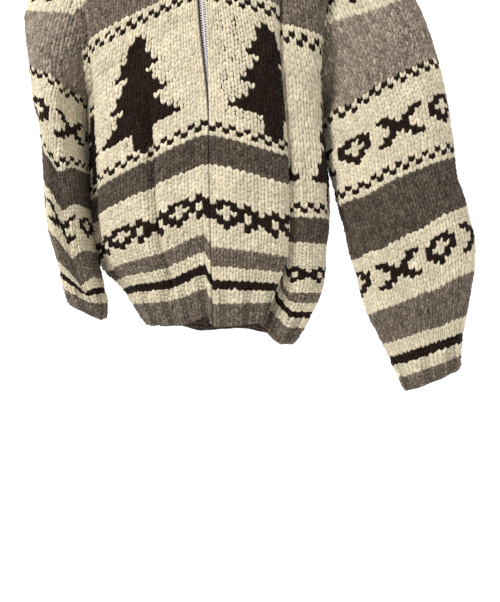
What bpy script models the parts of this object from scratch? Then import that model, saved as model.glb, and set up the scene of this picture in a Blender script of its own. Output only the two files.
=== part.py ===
"""A hand-knitted cowichan cardigan, hollow as it is worn, with its zip closed.

Every piece of cloth is a wall over one of two surfaces. The body's surface is
read by stitch and row: stitch 0 is the zip, the wearer's left side seam is at
stitch 26, the centre back at 52 and the right side seam at 78, or -26. A
sleeve's surface is read by its place round the tube, 0 at the outer edge and
a half at the inner one, and by row up from the cuff. All lengths are metres,
+Z is up, the front faces -Y and the wearer's left is at +X. The origin is
between the two neck points, where the wearer's shoulders hold the cardigan.
"""

import math

import bmesh
import bpy
import numpy as np

MM = 0.001

# Cloth
WALL = 5.0 * MM  # heavy six-ply knit
GAP = 0.3 * MM  # between two pieces at a seam
STITCH = 10.0 * MM  # width of one stitch
ROW = 7.0 * MM  # height of one row

# Body, in stitches round and rows up
QUARTER = 26  # stitches from the zip to a side seam
HEM_ROWS = 9
ARM_ROW = 63  # the underarm
SHOULDER_ROW = 100
SHOULDER_FROM = 90  # the back's rows bend down to the neck above this one
ZIP_ROW = 76  # the top of the zip
COLLAR_ROW = 79.5  # where the collar starts on each front
NECK_STITCH = 10.0  # the neck point on the shoulder seam
NECK_DIP = 3.0  # rows that the back neck lies below the neck points
ARMHOLE = 52 * MM  # half the depth of the open armhole
SQUARENESS = 0.84  # 1 is an ellipse in plan, less is squarer
REACH = 180 * MM  # the distance from the zip at which a row has its full drop
OVER = 13 * MM  # how far the left front's panel is drawn over the fold beside it
BEND = 105 * MM  # the left side's rows run nearly level past this distance from the zip
LAP = 4 * MM  # the left front stands this proud of the right one at the zip
TUCK = 17 * MM  # how far the right front's low edge is drawn up beside the zip

BODY_COLUMNS = (
    "row", "height", "half_left", "half_right", "front", "back", "lean", "drop_left", "drop_right",
    "sag",
)
BODY = np.array([
    (0, -0.655, 0.112, 0.112, 0.085, 0.085, -0.005, -0.008, -0.014, 0.036),
    (6, -0.614, 0.131, 0.134, 0.093, 0.090, -0.003, 0.010, -0.002, 0.038),
    (13, -0.567, 0.149, 0.157, 0.102, 0.096, -0.001, 0.028, 0.014, 0.044),
    (20, -0.520, 0.157, 0.179, 0.108, 0.100, 0.001, 0.042, 0.036, 0.058),
    (31, -0.443, 0.161, 0.195, 0.110, 0.102, 0.004, 0.058, 0.060, 0.080),
    (45, -0.345, 0.160, 0.199, 0.108, 0.100, 0.008, 0.064, 0.070, 0.086),
    (60, -0.240, 0.160, 0.197, 0.104, 0.098, 0.007, 0.062, 0.068, 0.046),
    (72, -0.156, 0.170, 0.193, 0.098, 0.094, 0.005, 0.058, 0.062, 0.022),
    (82, -0.088, 0.190, 0.197, 0.086, 0.084, 0.003, 0.058, 0.058, 0.010),
    (90, -0.040, 0.204, 0.207, 0.062, 0.062, 0.001, 0.058, 0.058, 0.004),
    (96, -0.011, 0.212, 0.212, 0.030, 0.030, 0.000, 0.058, 0.058, 0.000),
    (100, 0.000, 0.215, 0.215, 0.00015, 0.00015, 0.000, 0.058, 0.058, 0.000),
])

# Folds of the body. Places count quarters round from the zip, 1 at the left side seam.
FOLD_COLUMNS = ("low_place", "high_place", "width", "depth", "first_row", "last_row", "fade")
BODY_FOLDS = (
    (0.45, 0.37, 0.066, -0.024, -12, 82, 16),
    (0.37, 0.31, 0.070, 0.007, -12, 80, 16),
    (0.70, 0.72, 0.140, 0.010, -10, 70, 14),
    (0.16, 0.15, 0.090, 0.004, -10, 40, 14),
    (1.22, 1.20, 0.110, -0.012, -10, 78, 18),
    (1.48, 1.50, 0.130, 0.007, -10, 70, 18),
    (1.76, 1.80, 0.120, -0.009, -10, 52, 18),
    (2.26, 2.22, 0.110, -0.011, -10, 60, 18),
    (2.60, 2.58, 0.110, 0.006, -10, 76, 18),
    (2.76, 2.76, 0.105, 0.020, 14, 42, 14),
    (3.22, 3.18, 0.090, -0.015, 8, 78, 14),
    (3.46, 3.44, 0.110, 0.005, 0, 60, 14),
    (3.76, 3.74, 0.034, -0.014, 12, 44, 10),
)

# Sleeves, in places round and rows up from the cuff
CUFF_ROWS = 9
BLEND_ROWS = 16  # rows over which a sleeve takes the armhole's form
ARMPIT_ROWS = 3  # and over which it turns sideways to the body under the arm
SLEEVE_SQUARENESS = 0.88
SLEEVE_COLUMNS = ("row", "outer_x", "outer_z", "inner_x", "inner_z", "middle_y", "half_depth")
LEFT_SLEEVE = np.array([
    (0, 0.350, -0.736, 0.272, -0.765, -0.040, 0.030),
    (4, 0.352, -0.714, 0.264, -0.744, -0.040, 0.032),
    (12, 0.365, -0.657, 0.243, -0.694, -0.038, 0.034),
    (19, 0.381, -0.592, 0.224, -0.650, -0.034, 0.036),
    (32, 0.380, -0.495, 0.203, -0.566, -0.028, 0.038),
    (42, 0.362, -0.424, 0.174, -0.488, -0.024, 0.040),
    (54, 0.353, -0.335, 0.174, -0.406, -0.018, 0.042),
    (62, 0.344, -0.275, 0.172, -0.352, -0.014, 0.043),
    (74, 0.315, -0.176, 0.187, -0.262, -0.006, 0.047),
    (84, 0.272, -0.106, 0.190, -0.200, 0.000, 0.050),
    (94, 0.222, -0.058, 0.182, -0.150, 0.000, 0.048),
])
RIGHT_SLEEVE = np.array([
    (0, 0.231, -0.601, 0.178, -0.634, -0.052, 0.040),
    (4, 0.235, -0.577, 0.177, -0.611, -0.052, 0.044),
    (12, 0.242, -0.534, 0.184, -0.572, -0.048, 0.056),
    (19, 0.252, -0.487, 0.192, -0.532, -0.044, 0.064),
    (32, 0.256, -0.412, 0.199, -0.464, -0.036, 0.070),
    (42, 0.258, -0.358, 0.201, -0.408, -0.028, 0.072),
    (62, 0.270, -0.238, 0.200, -0.292, -0.014, 0.070),
    (74, 0.277, -0.150, 0.202, -0.220, -0.004, 0.060),
    (82, 0.262, -0.098, 0.202, -0.170, 0.000, 0.054),
    (90, 0.222, -0.058, 0.200, -0.130, 0.000, 0.048),
])
SLEEVES = {
    "left": {"side": 1, "table": LEFT_SLEEVE, "under_row": 67, "tip_row": 94},
    "right": {"side": -1, "table": RIGHT_SLEEVE, "under_row": 64, "tip_row": 90},
}
# Folds of the sleeves; the dip carries the rows down along the crease.
SLEEVE_FOLD_COLUMNS = (
    "low_place", "high_place", "width", "depth", "dip", "first_row", "last_row", "fade",
)
SLEEVE_FOLDS = {
    "left": (
        (0.30, 0.36, 0.050, -0.006, 0.006, 26, 62, 12),
        (0.16, 0.13, 0.060, 0.005, 0.000, 10, 50, 14),
        (0.44, 0.46, 0.050, -0.008, 0.004, 34, 66, 10),
        (0.72, 0.68, 0.060, -0.007, 0.004, 24, 64, 12),
    ),
    "right": (
        (0.345, 0.17, 0.075, -0.013, 0.026, 15, 40, 16),
        (0.36, 0.38, 0.060, -0.008, 0.006, 44, 66, 10),
        (0.66, 0.76, 0.060, -0.010, 0.016, 6, 44, 14),
    ),
}

# Ribs, knit two and purl two
RIB_RISE = 1.6 * MM

# Collar, from its end on a front to the shoulder seam and to the centre back. Its sections
# stand on the neck's edge, turned this many degrees down from straight out sideways.
COLLAR_FRONT_COLUMNS = ("row", "turned", "stand", "fall")
COLLAR_FRONT = (
    (79.5, -36, 0.009, 0.034),
    (83.0, -36, 0.009, 0.044),
    (87.0, -34, 0.010, 0.054),
    (91.0, -30, 0.013, 0.062),
    (95.0, -22, 0.018, 0.069),
    (98.4, -10, 0.025, 0.075),
    (100.0, 0, 0.030, 0.078),
)
COLLAR_BACK_COLUMNS = ("stitches_from_centre", "turned", "stand", "fall")
COLLAR_BACK = (
    (9.6, -16, 0.032, 0.080),
    (8.2, -38, 0.034, 0.082),
    (6.2, -58, 0.036, 0.084),
    (3.2, -76, 0.037, 0.085),
    (0.0, -90, 0.038, 0.086),
)
COLLAR_ROLL = 7.0 * MM  # radius of the fold along its top
COLLAR_HOLD = 8.0 * MM  # how far above the body its fall lies
COLLAR_IN = 4.8 * MM  # how far inside the neck's edge its stand is

# Zip
CHAIN_HALF = 4.5 * MM
CHAIN_THICK = 3.0 * MM
TAPE_OUT = 20 * MM
TAPE_THICK = 1.2 * MM
ZIP_BACK = WALL / 2 + 3 * GAP  # the fronts' inner face to the zip's outer face
CHAIN_TOP_ROW = 74.5
SLIDER_ROW = 74.5
PULL_LENGTH = 30 * MM
PULL_HALF = 4.0 * MM
PULL_THICK = 1.6 * MM

# Grids: stitches and rows at which the walls have points
FRONT_STITCHES = (2, 4, 6, 8, 9.5, 10.7, 12, 13.5, 15, 17, 19, 21.5, 24)
BACK_STEP = 2
BODY_STEP = 4.5
ARM_STEPS = 8
SLEEVE_ROW_STEP = 4.0


# Reading the tables

def ease(value):
    """0 below 0, 1 above 1 and a smooth S between."""
    value = np.clip(value, 0, 1)
    return value * value * (3 - 2 * value)


def read(table, columns, name, row):
    """One column of a table at any row, on a smooth curve through its values."""
    rows = table[:, 0]
    values = table[:, columns.index(name)]
    row = np.asarray(row, float)
    slopes = np.gradient(values, rows)
    i = np.clip(np.searchsorted(rows, row, side="right") - 1, 0, len(rows) - 2)
    step = rows[i + 1] - rows[i]
    f = np.clip((row - rows[i]) / step, 0, 1)
    return (
        (1 + 2 * f) * (1 - f) ** 2 * values[i]
        + f * (1 - f) ** 2 * step * slopes[i]
        + f * f * (3 - 2 * f) * values[i + 1]
        + f * f * (f - 1) * step * slopes[i + 1]
    )


def between(place, low, high, first, last, fade, row):
    """How far a place round is from a fold's centre, and the fold's strength at that row."""
    centre = low + (high - low) * np.clip(row / SHOULDER_ROW, 0, 1)
    window = ease((row - first + fade) / fade) * ease((last + fade - row) / fade)
    return place - centre, window


# The body's surface

def body_depth(place, row):
    """How far the folds move the body's surface outwards."""
    depth = LAP * np.tanh(place / 0.06) * np.exp(-((place / 0.3) ** 2)) * (np.abs(place) < 1)
    depth = depth * ease((94 - row) / 14)
    for low, high, width, fold, first, last, fade in BODY_FOLDS:
        away, window = between(place, low, high, first, last, fade, row)
        away = (away + 2) % 4 - 2
        depth = depth + fold * window * np.exp(-((away / width) ** 2))
    return depth


def body_rings(part, rows, samples=721):
    """Points round the front or the back at each row: places (k,) and x, y, z (rows, k)."""
    row = np.asarray(rows, float)[:, None]
    start = -1 if part == "front" else 1
    place = np.linspace(start, start + 2, samples)[None, :]
    angle = place * math.pi / 2
    cosine, sine = np.cos(angle), np.sin(angle)

    def column(name):
        return read(BODY, BODY_COLUMNS, name, row)

    half = np.where(sine >= 0, column("half_left"), column("half_right"))
    deep = column("front" if part == "front" else "back")
    opened = np.clip((row - ARM_ROW) / (SHOULDER_ROW - ARM_ROW), 0, 1)
    parted = np.minimum(ARMHOLE * np.sin(math.pi * opened) ** 0.7, 0.75 * deep)
    x = column("lean") + half * np.sign(sine) * np.abs(sine) ** SQUARENESS
    y = -np.sign(cosine) * np.abs(cosine) ** SQUARENESS * (deep - parted)
    y = y - parted if part == "front" else y + parted
    along_x, along_y = np.gradient(x, axis=1), np.gradient(y, axis=1)
    length = np.hypot(along_x, along_y) + 1e-12
    depth = body_depth(place, row)
    low, high, _, _, first, last, fade = BODY_FOLDS[0]
    away, window = between(place, low, high, first, last, fade, row)
    drawn = ease((row - 4) / 18)
    over = OVER * window * drawn * np.exp(-(((away + 0.05) / 0.05) ** 2))
    x, y = (
        x + (along_y * depth + along_x * over) / length,
        y - (along_x * depth - along_y * over) / length,
    )

    level = 0.75 * ease((68 - row) / 18) * np.maximum(x - BEND, 0)
    reach = np.sqrt(((x - level) / REACH) ** 2 + 0.004) - 0.063
    drop = np.where(x >= 0, column("drop_left"), column("drop_right"))
    sag = column("sag") * ease((away + 0.045) / (0.185 - 0.1 * drawn)) * ease((2.2 - place) / 1.0)
    tuck = TUCK * np.exp(-((place / 0.16) ** 2)) * (place < 0) * ease((34 - row) / 22)
    tuck = tuck * ease(-place / 0.02)
    tail = 0.012 * np.exp(-(((place - 2.2) / 0.22) ** 2)) * ease((12 - row) / 12)
    z = column("height") - drop * reach - sag + tuck - tail
    return place[0], x, y, z


def body_point(part, stitch, row):
    """The middle of the wall at a stitch and a row; stitches lie at even spaces round."""
    stitch, row = np.broadcast_arrays(np.asarray(stitch, float), np.asarray(row, float))
    rows, which = np.unique(row.ravel(), return_inverse=True)
    place, x, y, z = body_rings(part, rows)
    steps = np.hypot(np.diff(x, axis=1), np.diff(y, axis=1))
    run = np.concatenate([np.zeros((len(rows), 1)), np.cumsum(steps, axis=1)], axis=1)
    middle = (len(place) - 1) // 2
    first = -QUARTER if part == "front" else QUARTER
    knots = [first, first + QUARTER, first + 2 * QUARTER]
    flat, out = stitch.ravel(), np.zeros((stitch.size, 3))
    for i in range(len(rows)):
        here = which.ravel() == i
        at = np.interp(flat[here], knots, run[i, [0, middle, -1]])
        for axis, values in enumerate((x, y, z)):
            out[here, axis] = np.interp(at, run[i], values[i])
    return out.reshape(stitch.shape + (3,))


def unit(vectors):
    """Vectors of length 1."""
    return vectors / np.maximum(np.linalg.norm(vectors, axis=-1, keepdims=True), 1e-12)


def body_normal(part, stitch, row):
    """The direction out of the cloth, from neighbouring points on the same part."""
    low = -QUARTER if part == "front" else QUARTER
    reach, high = 0.4, low + 2 * QUARTER
    side_a, side_b = np.clip(stitch - reach, low, high), np.clip(stitch + reach, low, high)
    row_a, row_b = row - reach, np.minimum(row + reach, SHOULDER_ROW)
    across = body_point(part, side_b, row) - body_point(part, side_a, row)
    up = body_point(part, stitch, row_b) - body_point(part, stitch, row_a)
    return unit(np.cross(across, up))


# The sleeves' surface

def top_row(sleeve, place):
    """The row at which the sleeve meets the armhole."""
    share = (1 + np.cos(2 * math.pi * place)) / 2
    return sleeve["under_row"] + (sleeve["tip_row"] - sleeve["under_row"]) * share


def armhole(sleeve, place):
    """The armhole's edge on the body at a place round the sleeve: part, stitch and row."""
    front = place <= 0.5
    row = ARM_ROW + (SHOULDER_ROW - ARM_ROW) * (1 + np.cos(2 * math.pi * place)) / 2
    if sleeve["side"] > 0:
        return front, np.full(np.shape(place), float(QUARTER)), row
    return front, np.where(front, -QUARTER, 3 * QUARTER).astype(float), row


def armhole_point(sleeve, place):
    """The armhole's edge as points."""
    front, stitch, row = armhole(sleeve, place)
    out = np.zeros(np.shape(place) + (3,))
    for part, mask in (("front", front), ("back", ~front)):
        if mask.any():
            out[mask] = body_point(part, stitch[mask], row[mask])
    return out


def plain_tube(name, place, row):
    """A sleeve's tube from its table, before it is joined to the armhole."""
    sleeve = SLEEVES[name]

    def column(which):
        return read(sleeve["table"], SLEEVE_COLUMNS, which, row)

    angle = 2 * math.pi * place
    cosine, sine = np.cos(angle), np.sin(angle)
    across = np.sign(cosine) * np.abs(cosine) ** SLEEVE_SQUARENESS
    forward = np.sign(sine) * np.abs(sine) ** SLEEVE_SQUARENESS
    depth, dip = np.zeros(np.shape(row)), np.zeros(np.shape(row))
    for low, high, width, fold, down, first, last, fade in SLEEVE_FOLDS[name]:
        away, window = between(place, low, high, first, last, fade, row)
        away = (away + 0.5) % 1 - 0.5
        shape = window * np.exp(-((away / width) ** 2))
        depth, dip = depth + fold * shape, dip + down * shape
    half_x = (column("outer_x") - column("inner_x")) / 2
    half_z = (column("outer_z") - column("inner_z")) / 2
    wide = np.hypot(half_x, half_z)
    grow = 1 + depth / np.maximum(wide, 0.02) * np.abs(across)
    x = column("inner_x") + half_x * (1 + across * grow)
    z = column("inner_z") + half_z * (1 + across * grow) - dip
    y = column("middle_y") - column("half_depth") * forward - depth * forward
    return np.stack([sleeve["side"] * x, y, z], axis=-1)


def sleeve_point(name, place, row):
    """The middle of a sleeve's wall."""
    sleeve = SLEEVES[name]
    place, row = np.broadcast_arrays(np.asarray(place, float) % 1, np.asarray(row, float))
    places, which = np.unique(place.ravel(), return_inverse=True)
    top = top_row(sleeve, places)
    shift = armhole_point(sleeve, places) - plain_tube(name, places, top)
    below = (top[which] - row.ravel())[:, None]
    inner = (1 - np.cos(2 * math.pi * place.ravel())[:, None]) / 2
    blend = BLEND_ROWS + (ARMPIT_ROWS - BLEND_ROWS) * inner**2 * np.array([[1, 0.3, 0.2]])
    share = ease(1 - below / blend)
    return plain_tube(name, place, row) + (share * shift[which]).reshape(place.shape + (3,))


def sleeve_normal(name, place, row):
    """The direction out of a sleeve's cloth."""
    turn, reach = 0.01, 0.5
    around = sleeve_point(name, place + turn, row) - sleeve_point(name, place - turn, row)
    up = sleeve_point(name, place, row + reach) - sleeve_point(name, place, row - reach)
    return unit(np.cross(up, around)) * SLEEVES[name]["side"]


def seam_normal(sleeve, name, place):
    """The direction that body and sleeve share along the armhole, halfway between theirs."""
    front, stitch, row = armhole(sleeve, place)
    out = sleeve_normal(name, place, top_row(sleeve, place))
    for part, mask in (("front", front), ("back", ~front)):
        if mask.any():
            out[mask] = unit(out[mask] + body_normal(part, stitch[mask], row[mask]))
    under = np.abs(place - 0.5) < 1e-6
    out[under] = unit(out[under] * (1, 0, 1))  # the two sides of the side seam meet here
    return out


# Solids

def material(name, colour, roughness, metallic=0.0):
    """A Principled material."""
    made = bpy.data.materials.new(name)
    made.use_nodes = True
    shader = made.node_tree.nodes["Principled BSDF"]
    shader.inputs["Base Color"].default_value = (*colour, 1)
    shader.inputs["Roughness"].default_value = roughness
    shader.inputs["Metallic"].default_value = metallic
    return made


def add_object(name, points, faces, finish):
    """A mesh object with its faces pointing out."""
    mesh = bpy.data.meshes.new(name)
    mesh.from_pydata([tuple(map(float, p)) for p in points], [], faces)
    shape = bmesh.new()
    shape.from_mesh(mesh)
    bmesh.ops.recalc_face_normals(shape, faces=shape.faces)
    if shape.calc_volume(signed=True) < 0:
        bmesh.ops.reverse_faces(shape, faces=shape.faces)
    shape.to_mesh(mesh)
    shape.free()
    mesh.materials.append(finish)
    mesh.shade_smooth()
    mesh.set_sharp_from_angle(angle=math.radians(50))
    made = bpy.data.objects.new(name, mesh)
    bpy.context.scene.collection.objects.link(made)
    return made


def wall(name, middle, normal, finish, outer=WALL / 2, inner=WALL / 2, rise=0.0, tube=False):
    """A wall over a grid of points (i, j, 3), thicker on its outside by rise; a tube closes in i."""
    columns, rows = middle.shape[:2]
    rise = np.broadcast_to(rise, (columns, rows))[..., None]
    outside = middle + normal * (outer + rise)
    inside = middle - normal * inner
    points = np.concatenate([outside.reshape(-1, 3), inside.reshape(-1, 3)])
    layer = columns * rows

    def at(i, j, inner_side=False):
        return (i % columns) * rows + j + layer * inner_side

    faces = []
    for i in range(columns if tube else columns - 1):
        for j in range(rows - 1):
            faces.append((at(i, j), at(i + 1, j), at(i + 1, j + 1), at(i, j + 1)))
            faces.append(tuple(v + layer for v in reversed(faces[-1])))
        for j in (0, rows - 1):
            faces.append((at(i, j), at(i + 1, j), at(i + 1, j, True)))
            faces.append((at(i, j), at(i + 1, j, True), at(i, j, True)))
    if not tube:
        for i in (0, columns - 1):
            for j in range(rows - 1):
                faces.append((at(i, j), at(i, j + 1), at(i, j + 1, True)))
                faces.append((at(i, j), at(i, j + 1, True), at(i, j, True)))
    return add_object(name, points, faces, finish)


# Grids of rows and stitches

def edge_stitch(row):
    """How far a front's edge is from the zip's middle, in stitches."""
    beside_zip = 0.04 + 0.60 * ease((np.asarray(row, float) - 40) / 28)
    up_neck = np.clip((row - ZIP_ROW) / (SHOULDER_ROW - ZIP_ROW), 0, 1) ** 0.85
    return beside_zip + (NECK_STITCH - 0.64) * up_neck


def body_rows(first, last):
    """Rows of points: even below the underarm, and those of the armhole's ring above it."""
    below = np.linspace(HEM_ROWS, ARM_ROW, round((ARM_ROW - HEM_ROWS) / BODY_STEP) + 1)
    turn = np.linspace(math.pi, 0, ARM_STEPS + 1)[1:]
    above = ARM_ROW + (SHOULDER_ROW - ARM_ROW) * (1 + np.cos(turn)) / 2
    rows = np.concatenate([[0, HEM_ROWS / 2, HEM_ROWS - 1], below, above])
    inset = GAP / 2 / ROW
    rows = rows[(rows >= first) & (rows <= last)]
    rows[0] += inset if first > 0 else 0
    rows[-1] -= inset if last < SHOULDER_ROW else 0
    return rows


def front_grid(side, rows):
    """Stitches and rows of a front's points, from the zip's edge or the neck to the side."""
    inset = GAP / 2 / STITCH
    plain = np.array((0.0,) + FRONT_STITCHES + (QUARTER - inset,))[:, None]
    edge = edge_stitch(rows)[None, :]
    stitch = edge + (plain / plain[-1]) * (plain[-1] - edge)
    return side * stitch, np.broadcast_to(rows, stitch.shape)


def back_grid(rows):
    """Stitches and rows of the back's points, the top rows bent down to the neck."""
    inset = GAP / 2 / STITCH
    stitch = np.arange(QUARTER, 3 * QUARTER + 1, BACK_STEP, dtype=float)
    stitch[[0, -1]] += inset, -inset
    off_centre = np.clip(np.abs(stitch - 2 * QUARTER) / NECK_STITCH, 0, 1)[:, None]
    top = SHOULDER_ROW - NECK_DIP * (1 - off_centre**2)
    share = np.clip((rows - SHOULDER_FROM) / (SHOULDER_ROW - SHOULDER_FROM), 0, None)[None, :]
    row = np.minimum(rows, SHOULDER_FROM)[None, :] + share * (top - SHOULDER_FROM)
    return np.broadcast_to(stitch[:, None], row.shape), row


def panel_normals(part, stitch, row):
    """The walls' directions: those of the cloth, and at each seam the ones both pieces share."""
    normal = body_normal(part, stitch, row)
    other = "back" if part == "front" else "front"
    for i in (0, -1):
        if abs(abs(stitch[i, 0] - 2 * QUARTER * (part == "back")) - QUARTER) > 1:
            continue  # the zip's edge is no seam
        left = stitch[i, 0] > 0 if part == "front" else stitch[i, 0] < 2 * QUARTER
        name = "left" if left else "right"
        below = row[i] < ARM_ROW - 0.1
        seam = {"front": QUARTER if left else -QUARTER, "back": QUARTER if left else 3 * QUARTER}
        facing = body_normal(other, np.full(below.sum(), float(seam[other])), row[i][below])
        own = body_normal(part, np.full(below.sum(), float(seam[part])), row[i][below])
        normal[i, below] = unit(facing + own)
        share = 2 * (row[i][~below] - ARM_ROW) / (SHOULDER_ROW - ARM_ROW) - 1
        place = np.arccos(np.clip(share, -1, 1)) / (2 * math.pi)
        place = place if part == "front" else 1 - place
        normal[i, ~below] = seam_normal(SLEEVES[name], name, place)
    return normal


def rib_rise(grid):
    """Raised at every other column of points, two stitches apart, and flat at the seam above."""
    rise = np.broadcast_to((RIB_RISE * (np.arange(len(grid)) % 2))[:, None], grid.shape).copy()
    rise[:, -1] = 0
    return rise


def build_body(wool):
    """The back and the two fronts above the hem, and the ribbed hem below each."""
    upper = body_rows(HEM_ROWS, SHOULDER_ROW)
    lower = body_rows(0, HEM_ROWS)
    for name, side in (("front_left", 1), ("front_right", -1)):
        for part, rows in ((name, upper), ("hem_" + name, lower)):
            stitch, row = front_grid(side, rows)
            if side < 0:
                stitch, row = stitch[::-1], row[::-1]
            rise = rib_rise(stitch) if part.startswith("hem") else 0.0
            normal = panel_normals("front", stitch, row)
            if rows is upper:
                normal[:, -1] = unit(normal[:, -1] * (1, 0, 1))
            wall(part, body_point("front", stitch, row), normal, wool, rise=rise)
    for part, rows in (("back", upper), ("hem_back", lower)):
        stitch, row = back_grid(rows)
        rise = rib_rise(stitch) if part == "hem_back" else 0.0
        normal = panel_normals("back", stitch, row)
        if rows is upper:
            seam = np.abs(stitch[:, -1] - 2 * QUARTER) > NECK_STITCH - 0.5
            normal[seam, -1] = unit(normal[seam, -1] * (1, 0, 1))
        wall(part, body_point("back", stitch, row), normal, wool, rise=rise)


def build_sleeve(name, wool):
    """One sleeve up to its armhole, and the ribbed cuff below it."""
    sleeve = SLEEVES[name]
    place = np.arange(2 * ARM_STEPS) / (2 * ARM_STEPS)
    inset = GAP / 2 / ROW
    first = CUFF_ROWS + inset
    count = round((sleeve["tip_row"] - first) / SLEEVE_ROW_STEP) + 1
    top = top_row(sleeve, place)[:, None]
    row = first + np.linspace(0, 1, count)[None, :] * (top - 1.5 - first)
    row = np.concatenate([row, top], axis=1)
    grid = np.broadcast_to(place[:, None], row.shape)
    middle = sleeve_point(name, grid, row)
    normal = sleeve_normal(name, grid, row)
    normal[:, -1] = seam_normal(sleeve, name, place)
    ring = middle[:, -1]
    tangent = unit(np.roll(ring, -1, axis=0) - np.roll(ring, 1, axis=0))
    outwards = unit(np.cross(tangent, normal[:, -1]))
    away = np.sum(outwards * (middle[:, -2] - ring), axis=1, keepdims=True)
    middle[:, -1] = ring + outwards * np.sign(away) * 2 * GAP
    wall("sleeve_" + name, middle, normal, wool, tube=True)

    rows = np.array([0, CUFF_ROWS / 2, CUFF_ROWS - 1, CUFF_ROWS - inset])
    grid, row = np.meshgrid(place, rows, indexing="ij")
    wall("cuff_" + name, sleeve_point(name, grid, row), sleeve_normal(name, grid, row), wool,
         rise=rib_rise(grid), tube=True)


def collar_section(part, stitch, row, turned, stand, fall, left):
    """One section of the collar as points, from the neck's edge up, over and out."""
    turned = math.radians(turned)
    sideways = 1 if left == (part == "front") else -1
    step = np.array([math.cos(turned) * sideways / STITCH, math.sin(turned) / ROW])
    run_in = np.array([-COLLAR_IN] * 3)
    rise_in = np.array([-WALL / 2, 0.5 * stand, stand])
    angle = np.radians([135, 90, 45])
    run_roll = COLLAR_ROLL * (1 + np.cos(angle)) - COLLAR_IN
    rise_roll = stand + COLLAR_ROLL * np.sin(angle)
    share = np.array([0.25, 0.5, 0.75, 1.0])
    slow = 1 + stand / 0.04
    run_fall = run_roll[-1] + (fall - run_roll[-1]) * share**slow
    rise_fall = COLLAR_HOLD + (rise_roll[-1] - COLLAR_HOLD) * (1 - share) ** 1.3
    run = np.concatenate([run_in, run_roll, run_fall])
    rise = np.concatenate([rise_in, rise_roll, rise_fall])
    out = np.maximum(run, 0)
    at_stitch, at_row = stitch + step[0] * out, np.minimum(row + step[1] * out, SHOULDER_ROW)
    base, up = body_point(part, at_stitch, at_row), body_normal(part, at_stitch, at_row)
    if row >= SHOULDER_ROW:
        up = unit(up * (1, 0, 1))
    ahead = unit(base[-1] - base[0])
    ahead = unit(ahead - up[0] * np.dot(ahead, up[0]))
    return base + np.minimum(run, 0)[:, None] * ahead + rise[:, None] * up


def collar_grid():
    """The collar's sections from the left front's end round the neck to the right front's."""
    sections = []
    for left in (True, False):
        half = []
        for row, turned, stand, fall in COLLAR_FRONT:
            stitch = float(edge_stitch(row)) * (1 if left else -1)
            half.append(collar_section("front", stitch, row, turned, stand, fall, left))
        for away, turned, stand, fall in COLLAR_BACK:
            stitch = 2 * QUARTER + away * (-1 if left else 1)
            row = SHOULDER_ROW - NECK_DIP * (1 - (away / NECK_STITCH) ** 2)
            half.append(collar_section("back", stitch, row, turned, stand, fall, left))
        sections.append(half)
    return np.array(sections[0] + sections[1][-2::-1])


def grid_normals(points):
    """Directions square to a grid of points."""
    across, along = np.gradient(points, axis=0), np.gradient(points, axis=1)
    return unit(np.cross(along, across))


def build_collar(wool):
    """A shawl collar: it stands up from the neck's edge, rolls over and falls on the outside."""
    middle = collar_grid()
    wall("collar", middle, grid_normals(middle), wool)


def build_zip(tape, metal):
    """The two tapes, the two rows of teeth as plain strips, the slider and its pull."""
    rows = np.concatenate([body_rows(0, HEM_ROWS), body_rows(HEM_ROWS, SHOULDER_ROW)[1:]])
    rows = np.concatenate([[0.3], rows[(rows > 0) & (rows < CHAIN_TOP_ROW - 2)], [CHAIN_TOP_ROW]])
    for name, side in (("left", 1), ("right", -1)):
        for piece, near, far, thick, back, finish in (
            ("zip_teeth_", GAP / 2, CHAIN_HALF, CHAIN_THICK, ZIP_BACK, metal),
            ("zip_tape_", CHAIN_HALF + GAP, TAPE_OUT, TAPE_THICK, ZIP_BACK, tape),
        ):
            steps = np.array([near, far]) / STITCH
            stitch, row = np.meshgrid(side * steps, rows, indexing="ij")
            normal = body_normal("front", stitch, row)
            wall(piece + name, body_point("front", stitch, row), normal, finish,
                 outer=-back, inner=back + thick)


def box(shape, low, high):
    """A box between two corners, into a bmesh; sizes in millimetres."""
    low, high = np.array(low) * MM, np.array(high) * MM
    made = bmesh.ops.create_cube(shape, size=1.0)["verts"]
    for vert in made:
        vert.co = [lo if c < 0 else hi for c, lo, hi in zip(vert.co, low, high)]


def hard_piece(name, boxes, bevel, frame, finish):
    """Boxes united into one body, its edges eased, placed by a frame."""
    parts = []
    for low, high in boxes:
        shape = bmesh.new()
        box(shape, low, high)
        mesh = bpy.data.meshes.new(name)
        shape.to_mesh(mesh)
        shape.free()
        parts.append(bpy.data.objects.new(name if not parts else name + "_add", mesh))
        bpy.context.scene.collection.objects.link(parts[-1])
    main = parts[0]
    main.data.materials.append(finish)
    for other in parts[1:]:
        union = main.modifiers.new("union", "BOOLEAN")
        union.operation = "UNION"
        union.object = other
        other.hide_render = True
        other.display_type = "WIRE"
        other.matrix_world = frame
    if bevel:
        eased = main.modifiers.new("eased", "BEVEL")
        eased.width = bevel
        eased.segments = 1
        eased.limit_method = "ANGLE"
    main.matrix_world = frame
    return main


def zip_frame():
    """The slider's frame: X across, Y out of the cloth, Z up the zip."""
    from mathutils import Matrix

    at = body_point("front", np.array([0.0]), np.array([SLIDER_ROW]))[0]
    out = body_normal("front", np.array([0.0]), np.array([SLIDER_ROW]))[0]
    ends = body_point("front", np.array([0.0, 0.0]), np.array([SLIDER_ROW - 2, SLIDER_ROW + 1]))
    up = unit(ends[1] - ends[0])
    across = unit(np.cross(out, up))
    up = np.cross(across, out)
    frame = Matrix.Identity(4)
    for axis, vector in enumerate((across, out, up)):
        for k in range(3):
            frame[k][axis] = vector[k]
            frame[k][3] = at[k]
    return frame


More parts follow.
